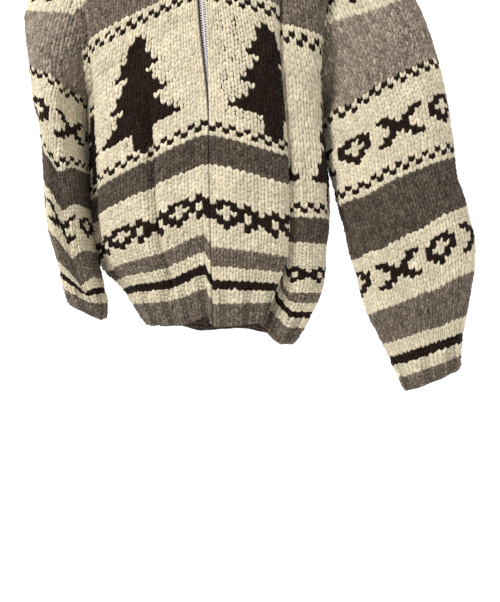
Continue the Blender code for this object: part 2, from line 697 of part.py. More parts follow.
def build_slider(metal):
    """Two plates on a post with a bridge in front, and the pull whose bar lies under it."""
    frame = zip_frame()
    front, back = -ZIP_BACK / MM + 0.4, -(ZIP_BACK + CHAIN_THICK) / MM - 0.5
    plates = [
        ((-5, front, -8), (5, front + 1.2, 8)),
        ((-5, back - 1.2, -8), (5, back, 8)),
        ((-1.6, back - 0.6, 2.2), (1.6, front + 0.6, 7)),
        ((-1.1, front + 0.6, -6), (1.1, 2.8, -4.4)),
        ((-1.1, front + 0.6, 4.4), (1.1, 2.8, 6)),
        ((-1.1, 1.5, -5), (1.1, 2.8, 5)),
    ]
    hard_piece("zip_slider", plates, 0.0, frame, metal)
    half, thin = PULL_HALF / MM, PULL_THICK / MM / 2
    pull = [
        ((-half, -thin, -0.8), (half, thin, 0.8)),
        ((-half, -thin, -9.5), (-2.4, thin, 0.4)),
        ((2.4, -thin, -9.5), (half, thin, 0.4)),
        ((-half, -thin, -PULL_LENGTH / MM), (half, thin, -9)),
    ]
    hard_piece("zip_pull", pull, 0.0, frame, metal)


def main():
    for old in list(bpy.data.objects):
        bpy.data.objects.remove(old)
    wool = material("wool", (0.62, 0.55, 0.42), 0.95)
    tape = material("zip_tape", (0.25, 0.22, 0.22), 0.9)
    metal = material("zip_metal", (0.6, 0.6, 0.6), 0.35, 1.0)
    build_body(wool)
    for name in SLEEVES:
        build_sleeve(name, wool)
    build_collar(wool)
    build_zip(tape, metal)
    build_slider(metal)


main()
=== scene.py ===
# %% [markdown]
# # A cowichan cardigan
# A cowichan cardigan is knitted by hand from thick wool in natural colours. This lesson dresses
# its plain hollow model: every stitch is a pair of small leaves of yarn that lie on the body's
# folded surface, and the pattern comes from charts, as a knitter reads them.

# %% Load the plain model
import math

import bpy
import numpy as np
from mathutils import Matrix, Vector


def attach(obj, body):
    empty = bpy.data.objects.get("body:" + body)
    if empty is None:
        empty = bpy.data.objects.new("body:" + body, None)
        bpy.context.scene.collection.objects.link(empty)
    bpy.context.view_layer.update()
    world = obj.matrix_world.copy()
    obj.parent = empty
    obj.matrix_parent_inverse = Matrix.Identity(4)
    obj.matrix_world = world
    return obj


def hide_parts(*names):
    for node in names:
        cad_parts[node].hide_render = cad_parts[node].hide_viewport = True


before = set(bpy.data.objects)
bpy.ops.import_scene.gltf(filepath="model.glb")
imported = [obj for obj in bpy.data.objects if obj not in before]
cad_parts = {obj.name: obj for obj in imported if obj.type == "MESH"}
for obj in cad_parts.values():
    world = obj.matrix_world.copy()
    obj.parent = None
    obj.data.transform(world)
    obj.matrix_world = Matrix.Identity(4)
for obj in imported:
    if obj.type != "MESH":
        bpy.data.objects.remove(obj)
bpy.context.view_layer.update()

# %% [markdown]
# ## Sizes
# One stitch is 10 mm wide and one row 7 mm high, which is what six-ply wool gives on thick
# needles. The body is 104 stitches round. The tables below hold the cardigan's form as it is
# worn, and they are the same ones that the solids are made from: a row of each table is a level
# of the knitting, and its columns are sizes in metres. The form could be pulled into shape by
# hand, but numbers in a table can be read, compared and changed one level at a time.

# %% Sizes of the knitting
# Rows count up from the hem's edge. The armholes start at ARM_ROW, and the zip ends at ZIP_ROW. The
# neck is NECK_STITCH stitches wide to each side and dips by NECK_DIP rows at the back.
MM = 0.001
STITCH_MM, ROW_MM = 10, 7
STITCH, ROW = STITCH_MM * MM, ROW_MM * MM
QUARTER = 26
HEM_ROWS, CUFF_ROWS = 9, 9
ARM_ROW, SHOULDER_ROW = 63, 100
ZIP_ROW, NECK_STITCH, NECK_DIP = 76, 10.0, 3.0
NECK_POWER, SQUARENESS = 0.85, 0.84

BODY_COLUMNS = (
    "row", "height", "half_left", "half_right", "front", "back", "lean", "drop_left", "drop_right",
    "sag",
)
BODY = np.array([
    (0, -0.655, 0.112, 0.112, 0.085, 0.085, -0.005, -0.008, -0.014, 0.036),
    (6, -0.614, 0.131, 0.134, 0.093, 0.090, -0.003, 0.010, -0.002, 0.038),
    (13, -0.567, 0.149, 0.157, 0.102, 0.096, -0.001, 0.028, 0.014, 0.044),
    (20, -0.520, 0.157, 0.179, 0.108, 0.100, 0.001, 0.042, 0.036, 0.058),
    (31, -0.443, 0.161, 0.195, 0.110, 0.102, 0.004, 0.058, 0.060, 0.080),
    (45, -0.345, 0.160, 0.199, 0.108, 0.100, 0.008, 0.064, 0.070, 0.086),
    (60, -0.240, 0.160, 0.197, 0.104, 0.098, 0.007, 0.062, 0.068, 0.046),
    (72, -0.156, 0.170, 0.193, 0.098, 0.094, 0.005, 0.058, 0.062, 0.022),
    (82, -0.088, 0.190, 0.197, 0.086, 0.084, 0.003, 0.058, 0.058, 0.010),
    (90, -0.040, 0.204, 0.207, 0.062, 0.062, 0.001, 0.058, 0.058, 0.004),
    (96, -0.011, 0.212, 0.212, 0.030, 0.030, 0.000, 0.058, 0.058, 0.000),
    (100, 0.000, 0.215, 0.215, 0.00015, 0.00015, 0.000, 0.058, 0.058, 0.000),
])
print("body", BODY.shape[0], "levels")

# %% Folds of the body
# Places count quarters round from the zip: 1 is the wearer's left side, 2 the centre back. The
# last four are shallow: three bulges against the arms and a hollow at the left side. The solids
# leave them out.
FOLD_COLUMNS = ("low_place", "high_place", "width", "depth", "first_row", "last_row", "fade")
BODY_FOLDS = (
    (0.45, 0.37, 0.066, -0.024, -12, 82, 16),
    (0.37, 0.31, 0.070, 0.007, -12, 80, 16),
    (0.70, 0.72, 0.140, 0.010, -10, 70, 14),
    (0.16, 0.15, 0.090, 0.004, -10, 40, 14),
    (1.22, 1.20, 0.110, -0.012, -10, 78, 18),
    (1.48, 1.50, 0.130, 0.007, -10, 70, 18),
    (1.76, 1.80, 0.120, -0.009, -10, 52, 18),
    (2.26, 2.22, 0.110, -0.011, -10, 60, 18),
    (2.60, 2.58, 0.110, 0.006, -10, 76, 18),
    (2.76, 2.76, 0.105, 0.020, 14, 42, 14),
    (3.22, 3.18, 0.090, -0.015, 8, 78, 14),
    (3.46, 3.44, 0.110, 0.005, 0, 60, 14),
    (3.76, 3.74, 0.034, -0.014, 12, 44, 10),
    (3.04, 3.04, 0.060, 0.005, 18, 36, 10),
    (3.00, 3.00, 0.060, 0.004, 44, 60, 10),
    (1.00, 1.00, 0.050, 0.003, 46, 60, 8),
    (0.95, 0.95, 0.320, -0.006, 0, 32, 8),
)
print(len(BODY_FOLDS), "folds, each by its", ", ".join(FOLD_COLUMNS))

# %% Sleeves
# A sleeve's place is 0 at its outer edge and a half at its inner one; rows go up from the cuff.
# The last folds of each sleeve are fine creases and shallow hollows that its solid leaves out.
BLEND_ROWS, ARMPIT_ROWS, SLEEVE_SQUARENESS = 16, 3, 0.88
ARMPIT_SHARES, LEAST_HALF = np.array([1, 0.3, 0.2]), 20 * MM
SLEEVE_COLUMNS = ("row", "outer_x", "outer_z", "inner_x", "inner_z", "middle_y", "half_depth")
LEFT_SLEEVE = np.array([
    (0, 0.350, -0.736, 0.272, -0.765, -0.040, 0.030),
    (4, 0.352, -0.714, 0.264, -0.744, -0.040, 0.032),
    (12, 0.365, -0.657, 0.243, -0.694, -0.038, 0.034),
    (19, 0.381, -0.592, 0.224, -0.650, -0.034, 0.036),
    (32, 0.380, -0.495, 0.203, -0.566, -0.028, 0.038),
    (42, 0.362, -0.424, 0.174, -0.488, -0.024, 0.040),
    (54, 0.353, -0.335, 0.174, -0.406, -0.018, 0.042),
    (62, 0.344, -0.275, 0.172, -0.352, -0.014, 0.043),
    (74, 0.315, -0.176, 0.187, -0.262, -0.006, 0.047),
    (84, 0.272, -0.106, 0.190, -0.200, 0.000, 0.050),
    (94, 0.222, -0.058, 0.182, -0.150, 0.000, 0.048),
])
RIGHT_SLEEVE = np.array([
    (0, 0.231, -0.601, 0.178, -0.634, -0.052, 0.040),
    (4, 0.235, -0.577, 0.177, -0.611, -0.052, 0.044),
    (12, 0.242, -0.534, 0.184, -0.572, -0.048, 0.056),
    (19, 0.252, -0.487, 0.192, -0.532, -0.044, 0.064),
    (32, 0.256, -0.412, 0.199, -0.464, -0.036, 0.070),
    (42, 0.258, -0.358, 0.201, -0.408, -0.028, 0.072),
    (62, 0.270, -0.238, 0.200, -0.292, -0.014, 0.070),
    (74, 0.277, -0.150, 0.202, -0.220, -0.004, 0.060),
    (82, 0.262, -0.098, 0.202, -0.170, 0.000, 0.054),
    (90, 0.222, -0.058, 0.200, -0.130, 0.000, 0.048),
])
SLEEVES = {
    "left": {"side": 1, "table": LEFT_SLEEVE, "under_row": 67, "tip_row": 94, "stitches": 44},
    "right": {"side": -1, "table": RIGHT_SLEEVE, "under_row": 64, "tip_row": 90, "stitches": 38},
}
CUFF_STITCHES = 28
SLEEVE_FOLD_COLUMNS = (
    "low_place", "high_place", "width", "depth", "dip", "first_row", "last_row", "fade",
)
SLEEVE_FOLDS = {
    "left": (
        (0.30, 0.36, 0.050, -0.006, 0.006, 26, 62, 12),
        (0.16, 0.13, 0.060, 0.005, 0.000, 10, 50, 14),
        (0.44, 0.46, 0.050, -0.008, 0.004, 34, 66, 10),
        (0.72, 0.68, 0.060, -0.007, 0.004, 24, 64, 12),
        (0.44, 0.44, 0.050, 0.004, 0.000, 43, 45, 3),
        (0.43, 0.43, 0.050, 0.005, 0.000, 51, 53, 3),
        (0.42, 0.42, 0.050, 0.004, 0.000, 59, 60, 3),
        (0.20, 0.30, 0.030, -0.005, 0.004, 14, 30, 8),
        (0.50, 0.50, 0.090, -0.016, 0.000, 41, 44, 9),
        (0.03, 0.03, 0.120, -0.005, 0.000, -4, 38, 8),
        (0.03, 0.03, 0.120, -0.004, 0.000, 31, 37, 7),
    ),
    "right": (
        (0.345, 0.17, 0.075, -0.013, 0.026, 15, 40, 16),
        (0.36, 0.38, 0.060, -0.008, 0.006, 44, 66, 10),
        (0.66, 0.76, 0.060, -0.010, 0.016, 6, 44, 14),
        (0.32, 0.37, 0.026, -0.014, 0.006, 62, 76, 8),
        (0.42, 0.42, 0.045, 0.007, 0.000, 62, 76, 6),
        (0.14, 0.20, 0.035, -0.005, 0.004, 30, 58, 10),
        (0.08, 0.08, 0.160, -0.009, 0.000, -6, 44, 10),
    ),
}
print(len(SLEEVES), "sleeves, their folds by", ", ".join(SLEEVE_FOLD_COLUMNS))

# %% [markdown]
# ## The camera
# It stands at hip height, 1.3 m away and a little to the wearer's left, with a 50 mm lens, and it
# is tipped sideways by three degrees, which is how the cardigan was framed.

# %% Camera
AZIMUTH, ROLL, DISTANCE = math.radians(5), math.radians(3.34), 1.30
TARGET = np.array([0.042, 0.0, -0.620])


def camera():
    """A camera that looks level at the target from the front."""
    back = np.array([math.sin(AZIMUTH), -math.cos(AZIMUTH), 0])
    right, up = np.array([math.cos(AZIMUTH), math.sin(AZIMUTH), 0]), np.array([0, 0, 1.0])
    tipped_right = math.cos(ROLL) * right - math.sin(ROLL) * up
    tipped_up = math.cos(ROLL) * up + math.sin(ROLL) * right
    matrix = np.eye(4)
    matrix[:3, 0], matrix[:3, 1], matrix[:3, 2] = tipped_right, tipped_up, back
    matrix[:3, 3] = TARGET + back * DISTANCE
    data = bpy.data.cameras.new("camera")
    data.lens, data.sensor_width, data.clip_start = 50, 36, 0.05
    made = bpy.data.objects.new("camera", data)
    made.matrix_world = Matrix(matrix.tolist())
    bpy.context.scene.collection.objects.link(made)
    bpy.context.scene.camera = made


camera()
print("camera at", [round(v, 2) for v in bpy.context.scene.camera.location])

# %% [markdown]
# ## The surface under the stitches
# Cloth on a body could be draped by simulation, but a worn cardigan has folds in known places.
# So its surface is a function: at each row it is a rounded rectangle in plan, moved in or out by
# the folds, and its height falls away from the zip because the wearer's belly lifts the middle.
# Stitches lie at even spaces along each ring.
#
# The functions work on whole arrays: a table is read at all rows at once, and a ring is worked out
# at all its places at once.


# %% Reading the tables
def ease(value):
    """0 below 0, 1 above 1 and the smooth S of 3v2 - 2v3 between."""
    value = np.clip(value, 0, 1)
    return value * value * (3 - 2 * value)


def read(table, columns, name, row):
    """One column of a table at any row, on a cubic Hermite curve through its values."""
    rows = table[:, 0]
    values = table[:, columns.index(name)]
    row = np.asarray(row, float)
    slopes = np.gradient(values, rows)
    i = np.clip(np.searchsorted(rows, row, side="right") - 1, 0, len(rows) - 2)
    step = rows[i + 1] - rows[i]
    f = np.clip((row - rows[i]) / step, 0, 1)
    return (
        (1 + 2 * f) * (1 - f) ** 2 * values[i]
        + f * (1 - f) ** 2 * step * slopes[i]
        + f * f * (3 - 2 * f) * values[i + 1]
        + f * f * (f - 1) * step * slopes[i + 1]
    )


def between(place, low, high, first, last, fade, row):
    """How far a place is from a fold's centre, and the fold's strength at that row."""
    centre = low + (high - low) * np.clip(row / SHOULDER_ROW, 0, 1)
    window = ease((row - first + fade) / fade) * ease((last + fade - row) / fade)
    return place - centre, window


# %% Smaller forms of the body
# ARMHOLE is half the widest gap between front and back. A row falls by its drop for each REACH
# from the middle, and past BEND on the left it runs more level. Beside the zip the left front
# stands out by LAP, and the right one lies back by it and is drawn up by TUCK. The cloth before
# the first fold hangs OVER it, and the back's hem hangs down by TAIL. Widths and places are in
# quarters round, tops and fades in rows.
ARMHOLE, ARMHOLE_POWER, ARMHOLE_MOST = 52 * MM, 0.7, 0.75
REACH, REACH_ROUND, REACH_START = 180 * MM, 0.004, 0.063
BEND, LEVEL_SHARE, LEVEL_TOP, LEVEL_FADE = 105 * MM, 0.75, 68, 18
LAP, LAP_STEP, LAP_WIDTH, LAP_TOP, LAP_FADE = 4 * MM, 0.06, 0.3, 94, 14
OVER, OVER_WIDTH, OVER_FROM, OVER_FADE = 13 * MM, 0.05, 4, 18
SAG_BEFORE, SAG_WIDTH, SAG_NARROWS, SAG_END, SAG_FADE = 0.045, 0.185, 0.1, 2.2, 1.0
TUCK, TUCK_WIDTH, TUCK_EDGE, TUCK_TOP, TUCK_FADE = 17 * MM, 0.16, 0.02, 34, 22
TAIL, TAIL_PLACE, TAIL_WIDTH, TAIL_TOP = 12 * MM, 2.2, 0.22, 12
print("an armhole is up to", round(2 * ARMHOLE / MM), "mm wide")


def body_depth(place, row):
    """The folds as bell curves round the ring, and the small lap of one front over the other."""
    depth = LAP * np.tanh(place / LAP_STEP) * np.exp(-((place / LAP_WIDTH) ** 2))
    depth = depth * (np.abs(place) < 1) * ease((LAP_TOP - row) / LAP_FADE)
    for low, high, width, fold, first, last, fade in BODY_FOLDS:
        away, window = between(place, low, high, first, last, fade, row)
        away = (away + 2) % 4 - 2
        depth = depth + fold * window * np.exp(-((away / width) ** 2))
    return depth


def body_height(column, place, row, x, away):
    """A row's height: the table's, less its fall to the sides, a hyperbola, and its sag from the
    first fold on; up by the tuck at the zip and down by the tail at the back."""
    level = LEVEL_SHARE * ease((LEVEL_TOP - row) / LEVEL_FADE) * np.maximum(x - BEND, 0)
    reach = np.sqrt(((x - level) / REACH) ** 2 + REACH_ROUND) - REACH_START
    drop = np.where(x >= 0, column("drop_left"), column("drop_right"))
    sag_width = SAG_WIDTH - SAG_NARROWS * ease((row - OVER_FROM) / OVER_FADE)
    sag = column("sag") * ease((away + SAG_BEFORE) / sag_width)
    sag = sag * ease((SAG_END - place) / SAG_FADE)
    tuck = TUCK * np.exp(-((place / TUCK_WIDTH) ** 2)) * ease(-place / TUCK_EDGE)
    tuck = tuck * ease((TUCK_TOP - row) / TUCK_FADE)
    tail = TAIL * np.exp(-(((place - TAIL_PLACE) / TAIL_WIDTH) ** 2))
    tail = tail * ease((TAIL_TOP - row) / TAIL_TOP)
    return column("height") - drop * reach - sag + tuck - tail


# %% Rings of the body
def body_rings(part, rows, samples=721):
    """Points round a half ring at each row: x is half times the sine and y the depth times the
    cosine of the place, both to the power of the squareness, moved out by the folds."""
    row = np.asarray(rows, float)[:, None]
    start = -1 if part == "front" else 1
    place = np.linspace(start, start + 2, samples)[None, :]
    angle = place * math.pi / 2
    cosine, sine = np.cos(angle), np.sin(angle)

    def column(name):
        return read(BODY, BODY_COLUMNS, name, row)

    half = np.where(sine >= 0, column("half_left"), column("half_right"))
    deep = column("front" if part == "front" else "back")
    opened = np.clip((row - ARM_ROW) / (SHOULDER_ROW - ARM_ROW), 0, 1)
    parted = np.minimum(ARMHOLE * np.sin(math.pi * opened) ** ARMHOLE_POWER, ARMHOLE_MOST * deep)
    x = column("lean") + half * np.sign(sine) * np.abs(sine) ** SQUARENESS
    y = -np.sign(cosine) * np.abs(cosine) ** SQUARENESS * (deep - parted)
    y = y - parted if part == "front" else y + parted
    along_x, along_y = np.gradient(x, axis=1), np.gradient(y, axis=1)
    length = np.hypot(along_x, along_y) + 1e-12
    depth = body_depth(place, row)
    low, high, _, _, first, last, fade = BODY_FOLDS[0]
    away, window = between(place, low, high, first, last, fade, row)
    over = OVER * window * ease((row - OVER_FROM) / OVER_FADE)
    over = over * np.exp(-(((away + OVER_WIDTH) / OVER_WIDTH) ** 2))
    x, y = (
        x + (along_y * depth + along_x * over) / length,
        y - (along_x * depth - along_y * over) / length,
    )
    return place[0], x, y, body_height(column, place, row, x, away)


def body_grid(part, stitches, rows):
    """Points at even spaces of arc length round each half ring, as an array (stitch, row, 3)."""
    place, x, y, z = body_rings(part, rows)
    steps = np.hypot(np.diff(x, axis=1), np.diff(y, axis=1))
    run = np.concatenate([np.zeros((len(rows), 1)), np.cumsum(steps, axis=1)], axis=1)
    middle = (len(place) - 1) // 2
    first = -QUARTER if part == "front" else QUARTER
    knots = [first, first + QUARTER, first + 2 * QUARTER]
    out = np.zeros((len(stitches), len(rows), 3))
    for i in range(len(rows)):
        at = np.interp(stitches, knots, run[i, [0, middle, -1]])
        out[:, i] = np.stack([np.interp(at, run[i], c[i]) for c in (x, y, z)], axis=-1)
    return out


# %% Rings of a sleeve
SLEEVE_SAMPLES = 240


def top_row(sleeve, place):
    """The row at which the sleeve meets the armhole, a cosine from the tip to the underarm."""
    share = (1 + np.cos(2 * math.pi * place)) / 2
    return sleeve["under_row"] + (sleeve["tip_row"] - sleeve["under_row"]) * share


def armhole_edge(sleeve, places):
    """The armhole's edge on the body at places round the sleeve."""
    rows = ARM_ROW + (SHOULDER_ROW - ARM_ROW) * (1 + np.cos(2 * math.pi * places)) / 2
    stitch = QUARTER if sleeve["side"] > 0 else -QUARTER
    front = body_grid("front", [stitch], rows)[0]
    back = body_grid("back", [stitch if stitch > 0 else 3 * QUARTER], rows)[0]
    return np.where((places <= 0.5)[:, None], front, back)


def plain_tube(name, place, row):
    """A rounded tube between the table's outer and inner lines, pressed in along its folds."""
    sleeve = SLEEVES[name]

    def column(which):
        return read(sleeve["table"], SLEEVE_COLUMNS, which, row)

    angle = 2 * math.pi * place
    cosine, sine = np.cos(angle), np.sin(angle)
    across = np.sign(cosine) * np.abs(cosine) ** SLEEVE_SQUARENESS
    forward = np.sign(sine) * np.abs(sine) ** SLEEVE_SQUARENESS
    depth, dip = np.zeros(np.shape(row)), np.zeros(np.shape(row))
    for low, high, width, fold, down, first, last, fade in SLEEVE_FOLDS[name]:
        away, window = between(place, low, high, first, last, fade, row)
        away = (away + 0.5) % 1 - 0.5
        shape = window * np.exp(-((away / width) ** 2))
        depth, dip = depth + fold * shape, dip + down * shape
    half_x = (column("outer_x") - column("inner_x")) / 2
    half_z = (column("outer_z") - column("inner_z")) / 2
    grow = 1 + depth / np.maximum(np.hypot(half_x, half_z), LEAST_HALF) * np.abs(across)
    x = column("inner_x") + half_x * (1 + across * grow)
    z = column("inner_z") + half_z * (1 + across * grow) - dip
    y = column("middle_y") - column("half_depth") * forward - depth * forward
    return np.stack([sleeve["side"] * x, y, z], axis=-1)


def sleeve_rings(name, places, rows):
    """The tube, blended into the armhole's edge over its top rows, as an array (place, row, 3)."""
    sleeve = SLEEVES[name]
    top = top_row(sleeve, places)
    shift = armhole_edge(sleeve, places) - plain_tube(name, places, top)
    place, row = np.meshgrid(places, rows, indexing="ij")
    inner = ((1 - np.cos(2 * math.pi * place)) / 2)[..., None]
    blend = BLEND_ROWS + (ARMPIT_ROWS - BLEND_ROWS) * inner**2 * ARMPIT_SHARES
    share = ease(1 - (top[:, None] - row)[..., None] / blend)
    return plain_tube(name, place, row) + share * shift[:, None, :]


def sleeve_grid(name, stitches, rows, around):
    """Points at even spaces round each ring, and the armhole's row at each; stitch 0 is at the
    underarm seam, and the stitches go round anticlockwise from above, as the body's do."""
    places = np.linspace(0, 1, SLEEVE_SAMPLES + 1)
    ring = sleeve_rings(name, places[:-1], rows)
    top = np.broadcast_to(top_row(SLEEVES[name], places[:-1])[:, None, None], ring[..., :1].shape)
    ring = np.concatenate([ring, top], axis=-1)
    order = np.roll(np.arange(SLEEVE_SAMPLES), -SLEEVE_SAMPLES // 2)
    ring = ring[order if SLEEVES[name]["side"] < 0 else order[::-1]]
    if SLEEVES[name]["side"] > 0:
        ring = np.roll(ring, 1, axis=0)
    ring = np.concatenate([ring, ring[:1]])
    steps = np.linalg.norm(np.diff(ring[..., :3], axis=0), axis=2)
    run = np.concatenate([np.zeros((1, len(rows))), np.cumsum(steps, axis=0)])
    out = np.zeros((len(stitches), len(rows), 4))
    for j in range(len(rows)):
        at = (np.asarray(stitches) % around) / around * run[-1, j]
        out[:, j] = np.stack([np.interp(at, run[:, j], ring[:, j, k]) for k in range(4)], axis=-1)
    return out


# %% Reading a surface
class Surface:
    """Points and outward directions on an even grid of stitches and rows. A fourth value of a
    point, where it has one, is the row of the piece's edge there."""

    def __init__(self, stitches, rows, points):
        self.first = np.array([stitches[0], rows[0]], float)
        self.step = np.array([stitches[1] - stitches[0], rows[1] - rows[0]], float)
        self.points, self.top = points[..., :3], points[..., 3:]
        normal = np.cross(np.gradient(self.points, axis=0), np.gradient(self.points, axis=1))
        self.normals = normal / (np.linalg.norm(normal, axis=-1, keepdims=True) + 1e-12)

    def read(self, grid, stitch, row):
        """A grid's value at any stitch and row, weighted between its four nearest points."""
        i = (stitch - self.first[0]) / self.step[0]
        j = (row - self.first[1]) / self.step[1]
        i = np.clip(i, 0, grid.shape[0] - 1.001)
        j = np.clip(j, 0, grid.shape[1] - 1.001)
        a, b = i.astype(int), j.astype(int)
        f, g = (i - a)[..., None], (j - b)[..., None]
        low = grid[a, b] * (1 - f) + grid[a + 1, b] * f
        high = grid[a, b + 1] * (1 - f) + grid[a + 1, b + 1] * f
        return low * (1 - g) + high * g

    def at(self, stitch, row, height):
        """P + h N, a point that lies h above the surface."""
        out = self.read(self.points, stitch, row)
        return out + self.read(self.normals, stitch, row) * np.asarray(height)[..., None]


# %% Surfaces to knit on
ROW_STEP, STITCH_STEP = 0.5, 0.25
fine_rows = np.arange(0, SHOULDER_ROW + 0.1, ROW_STEP)
front_stitches = np.arange(-QUARTER, QUARTER + 0.1, STITCH_STEP)
back_stitches = np.arange(QUARTER, 3 * QUARTER + 0.1, STITCH_STEP)
SURFACES = {
    "front": Surface(front_stitches, fine_rows, body_grid("front", front_stitches, fine_rows)),
    "back": Surface(back_stitches, fine_rows, body_grid("back", back_stitches, fine_rows)),
}
for name, sleeve in SLEEVES.items():
    for piece, around in (("sleeve_", sleeve["stitches"]), ("cuff_", CUFF_STITCHES)):
        sleeve_stitches = np.arange(-1, around + 1.1, STITCH_STEP)
        sleeve_rows = np.arange(0, 95.1, ROW_STEP)
        grid = sleeve_grid(name, sleeve_stitches, sleeve_rows, around)
        SURFACES[piece + name] = Surface(sleeve_stitches, sleeve_rows, grid)
print("surfaces", sorted(SURFACES))

# %% [markdown]
# ## The edges of the pieces
# Each piece is a part of one of these surfaces. A front ends beside the zip and then along the
# neck, the back dips at the neck, and a sleeve ends at the armhole. The cloth could be cut along
# those lines, but a cut leaves half stitches. A small function brings any stitch that would lie
# past such an edge back to it instead, as a knitter's decreases do.


# %% Edges
EDGE_CLOSED, EDGE_WIDER, EDGE_FROM, EDGE_FADE = 0.04, 0.60, 40, 28
SQUEEZED = 3


def beside_zip(row):
    """How far the fronts' edges are from the zip's middle, in stitches; wider near the top."""
    return EDGE_CLOSED + EDGE_WIDER * ease((np.asarray(row, float) - EDGE_FROM) / EDGE_FADE)


def neck_line(row):
    """The front neck: a power curve from the top of the zip to the neck point."""
    up = np.clip((row - ZIP_ROW) / (SHOULDER_ROW - ZIP_ROW), 0, 1) ** NECK_POWER
    return beside_zip(row) + (NECK_STITCH - EDGE_CLOSED - EDGE_WIDER) * up


def on_front(side):
    """Places on a front: three stitches squeezed in beside the zip, none past the neck's edge."""
    def place(stitch, row):
        away, row = np.abs(stitch), np.minimum(row, SHOULDER_ROW)
        beside = beside_zip(row)
        away = np.where(away < SQUEEZED, beside + away * (1 - beside / SQUEEZED), away)
        return side * np.maximum(away, neck_line(row)), row
    return place


def on_back(stitch, row):
    """Places on the back, none above the dip of its neck."""
    off = np.clip(np.abs(stitch - 2 * QUARTER) / NECK_STITCH, 0, 1)
    return stitch, np.minimum(row, SHOULDER_ROW - NECK_DIP * (1 - off**2))


def on_sleeve(surface):
    """Places on a sleeve, none above its armhole."""
    def place(stitch, row):
        for _ in range(2):  # the armhole's row changes a little with the row it is read at
            row = np.minimum(row, surface.read(surface.top, stitch, row)[..., 0])
        return stitch, row
    return place


print("a front's edge is", round(float(beside_zip(0)) * STITCH_MM, 1), "mm from the zip's middle")

# %% [markdown]
# ## The charts
# A knitter's chart has one square a stitch. The plain bands go by rows. The small crosses, rings
# and staggered dots are traditional repeats, written here as the knitter draws them. On each front
# stands a fir tree, drawn by a rule. An image laid over the cloth could carry all this, but its
# colours would run across the stitches. A chart gives each stitch one colour, as yarn does.

# %% Bands and repeats
# The grey comes from fleeces of three depths.
CREAM, GREY, DARK, DEEP_GREY, PALE_GREY = range(5)
BODY_BANDS = (
    (0, 5, GREY), (5, 8, CREAM), (8, 10, DARK), (10, 13, CREAM), (13, 17, GREY), (17, 34, CREAM),
    (34, 40, DEEP_GREY), (40, 71, CREAM), (71, 79, GREY), (79, 89, CREAM), (89, 91, DARK),
    (91, 101, GREY),
)
SLEEVE_BANDS = (
    (0, 4, GREY), (4, 7, CREAM), (7, 9, DARK), (9, 12, CREAM), (12, 19, GREY), (19, 32, CREAM),
    (32, 42, DEEP_GREY), (42, 62, CREAM), (62, 74, PALE_GREY), (74, 84, CREAM),
    (84, 101, GREY),
)
RING = (
    ".XXX.",
    "XX.XX",
    "X...X",
    "XX.XX",
    ".XXX.",
    "..X..",
)
CROSS = (
    "X...X",
    "XX.XX",
    ".XXX.",
    ".XXX.",
    "XX.XX",
    "X...X",
)
WIDE_CROSS = (
    "XX...XX",
    ".XX.XX.",
    "..XXX..",
    "..XXX..",
    ".XX.XX.",
    "XX...XX",
)


def chart(*motifs):
    """Motifs side by side as an array of rows upwards, True where a stitch is dark."""
    rows = ["".join(parts) for parts in zip(*motifs)]
    return np.array([[c == "X" for c in row] for row in rows[::-1]])


# Where the repeats and the rows of dots start: rows, and for some the column too.
BODY_REPEAT, SLEEVE_REPEAT = chart(RING, CROSS), chart(RING, ["."] * 6, WIDE_CROSS, ["."] * 6)
BODY_REPEAT_ROWS, RIGHT_FRONT_SHIFT, BODY_DOT_ROWS = (21, 81), -7, (41, 68)
SLEEVE_REPEAT_ROWS, SLEEVE_TOP_ROW, SLEEVE_DOT_ROWS = (23, 49), 76, (43, 60)
SLEEVE_STARTS = {"left": (12, 3), "right": (20, 24)}
print("repeats of", BODY_REPEAT.shape[1], "and", SLEEVE_REPEAT.shape[1], "stitches")


# %% Reading a stitch's colour
def banded(bands, row):
    """The plain colour of each row."""
    colour = np.zeros(row.shape, int)
    for first, last, shade in bands:
        colour[(row >= first) & (row < last)] = shade
    return colour


def repeated(colour, pattern, column, row, first_row, first_column):
    """Dark stitches where a repeat that starts at that row and column has them."""
    up = row - first_row
    inside = (up >= 0) & (up < len(pattern))
    dark = pattern[np.clip(up, 0, len(pattern) - 1), (column - first_column) % pattern.shape[1]]
    colour[inside & dark] = DARK


def dotted(colour, column, row, first_row):
    """Two rows of dots, every other stitch and staggered."""
    for up in (0, 1):
        colour[(row == first_row + up) & ((column + up) % 2 == 0)] = DARK


# %% The body's chart
FIR_COLUMNS = ("centre", "half_width")
FIRS = ((9, 6), (22, 4), (-11, 6), (-23, 4), (36, 6), (52, 7), (68, 6))
FIR_FOOT, TRUNK_ROWS, TIER_STEP, TIER_ROWS, TIER_SHRINK, TIER_SLOPE = 43, 4, 6, 7, 1.5, 8
LOW_BANDS = 30
CARRIED_ROWS, CARRIED_COLUMNS = (45, 66), (1, 6)
print(len(FIRS), "firs by", " and ".join(FIR_COLUMNS))


def fir(colour, column, row, centre, half):
    """A fir tree: a trunk three stitches wide under three tiers that narrow as they rise, each
    by its half width in TIER_SLOPE rows."""
    away, up = np.abs(column - centre), row - FIR_FOOT
    colour[(away <= 1) & (up >= 0) & (up < TRUNK_ROWS)] = DARK
    for tier in range(3):
        low, widest = TRUNK_ROWS + TIER_STEP * tier, half - TIER_SHRINK * tier
        reach = widest - (up - low) * widest / TIER_SLOPE
        colour[(up >= low) & (up < low + TIER_ROWS) & (away <= reach)] = DARK


def body_colour(column, row):
    """The body's chart. The right front has one more row of grey at its hem, so its low bands
    are a row higher than the left one's."""
    row = np.maximum(row - ((column < 0) & (row < LOW_BANDS)), 0)
    colour = banded(BODY_BANDS, row)
    shift = np.where(column < 0, RIGHT_FRONT_SHIFT, 0)
    for first_row in BODY_REPEAT_ROWS:
        repeated(colour, BODY_REPEAT, column, row, first_row, shift)
    for first_row in BODY_DOT_ROWS:
        dotted(colour, column, row, first_row)
    for centre, half in FIRS:
        fir(colour, column, row, centre, half)
    return colour


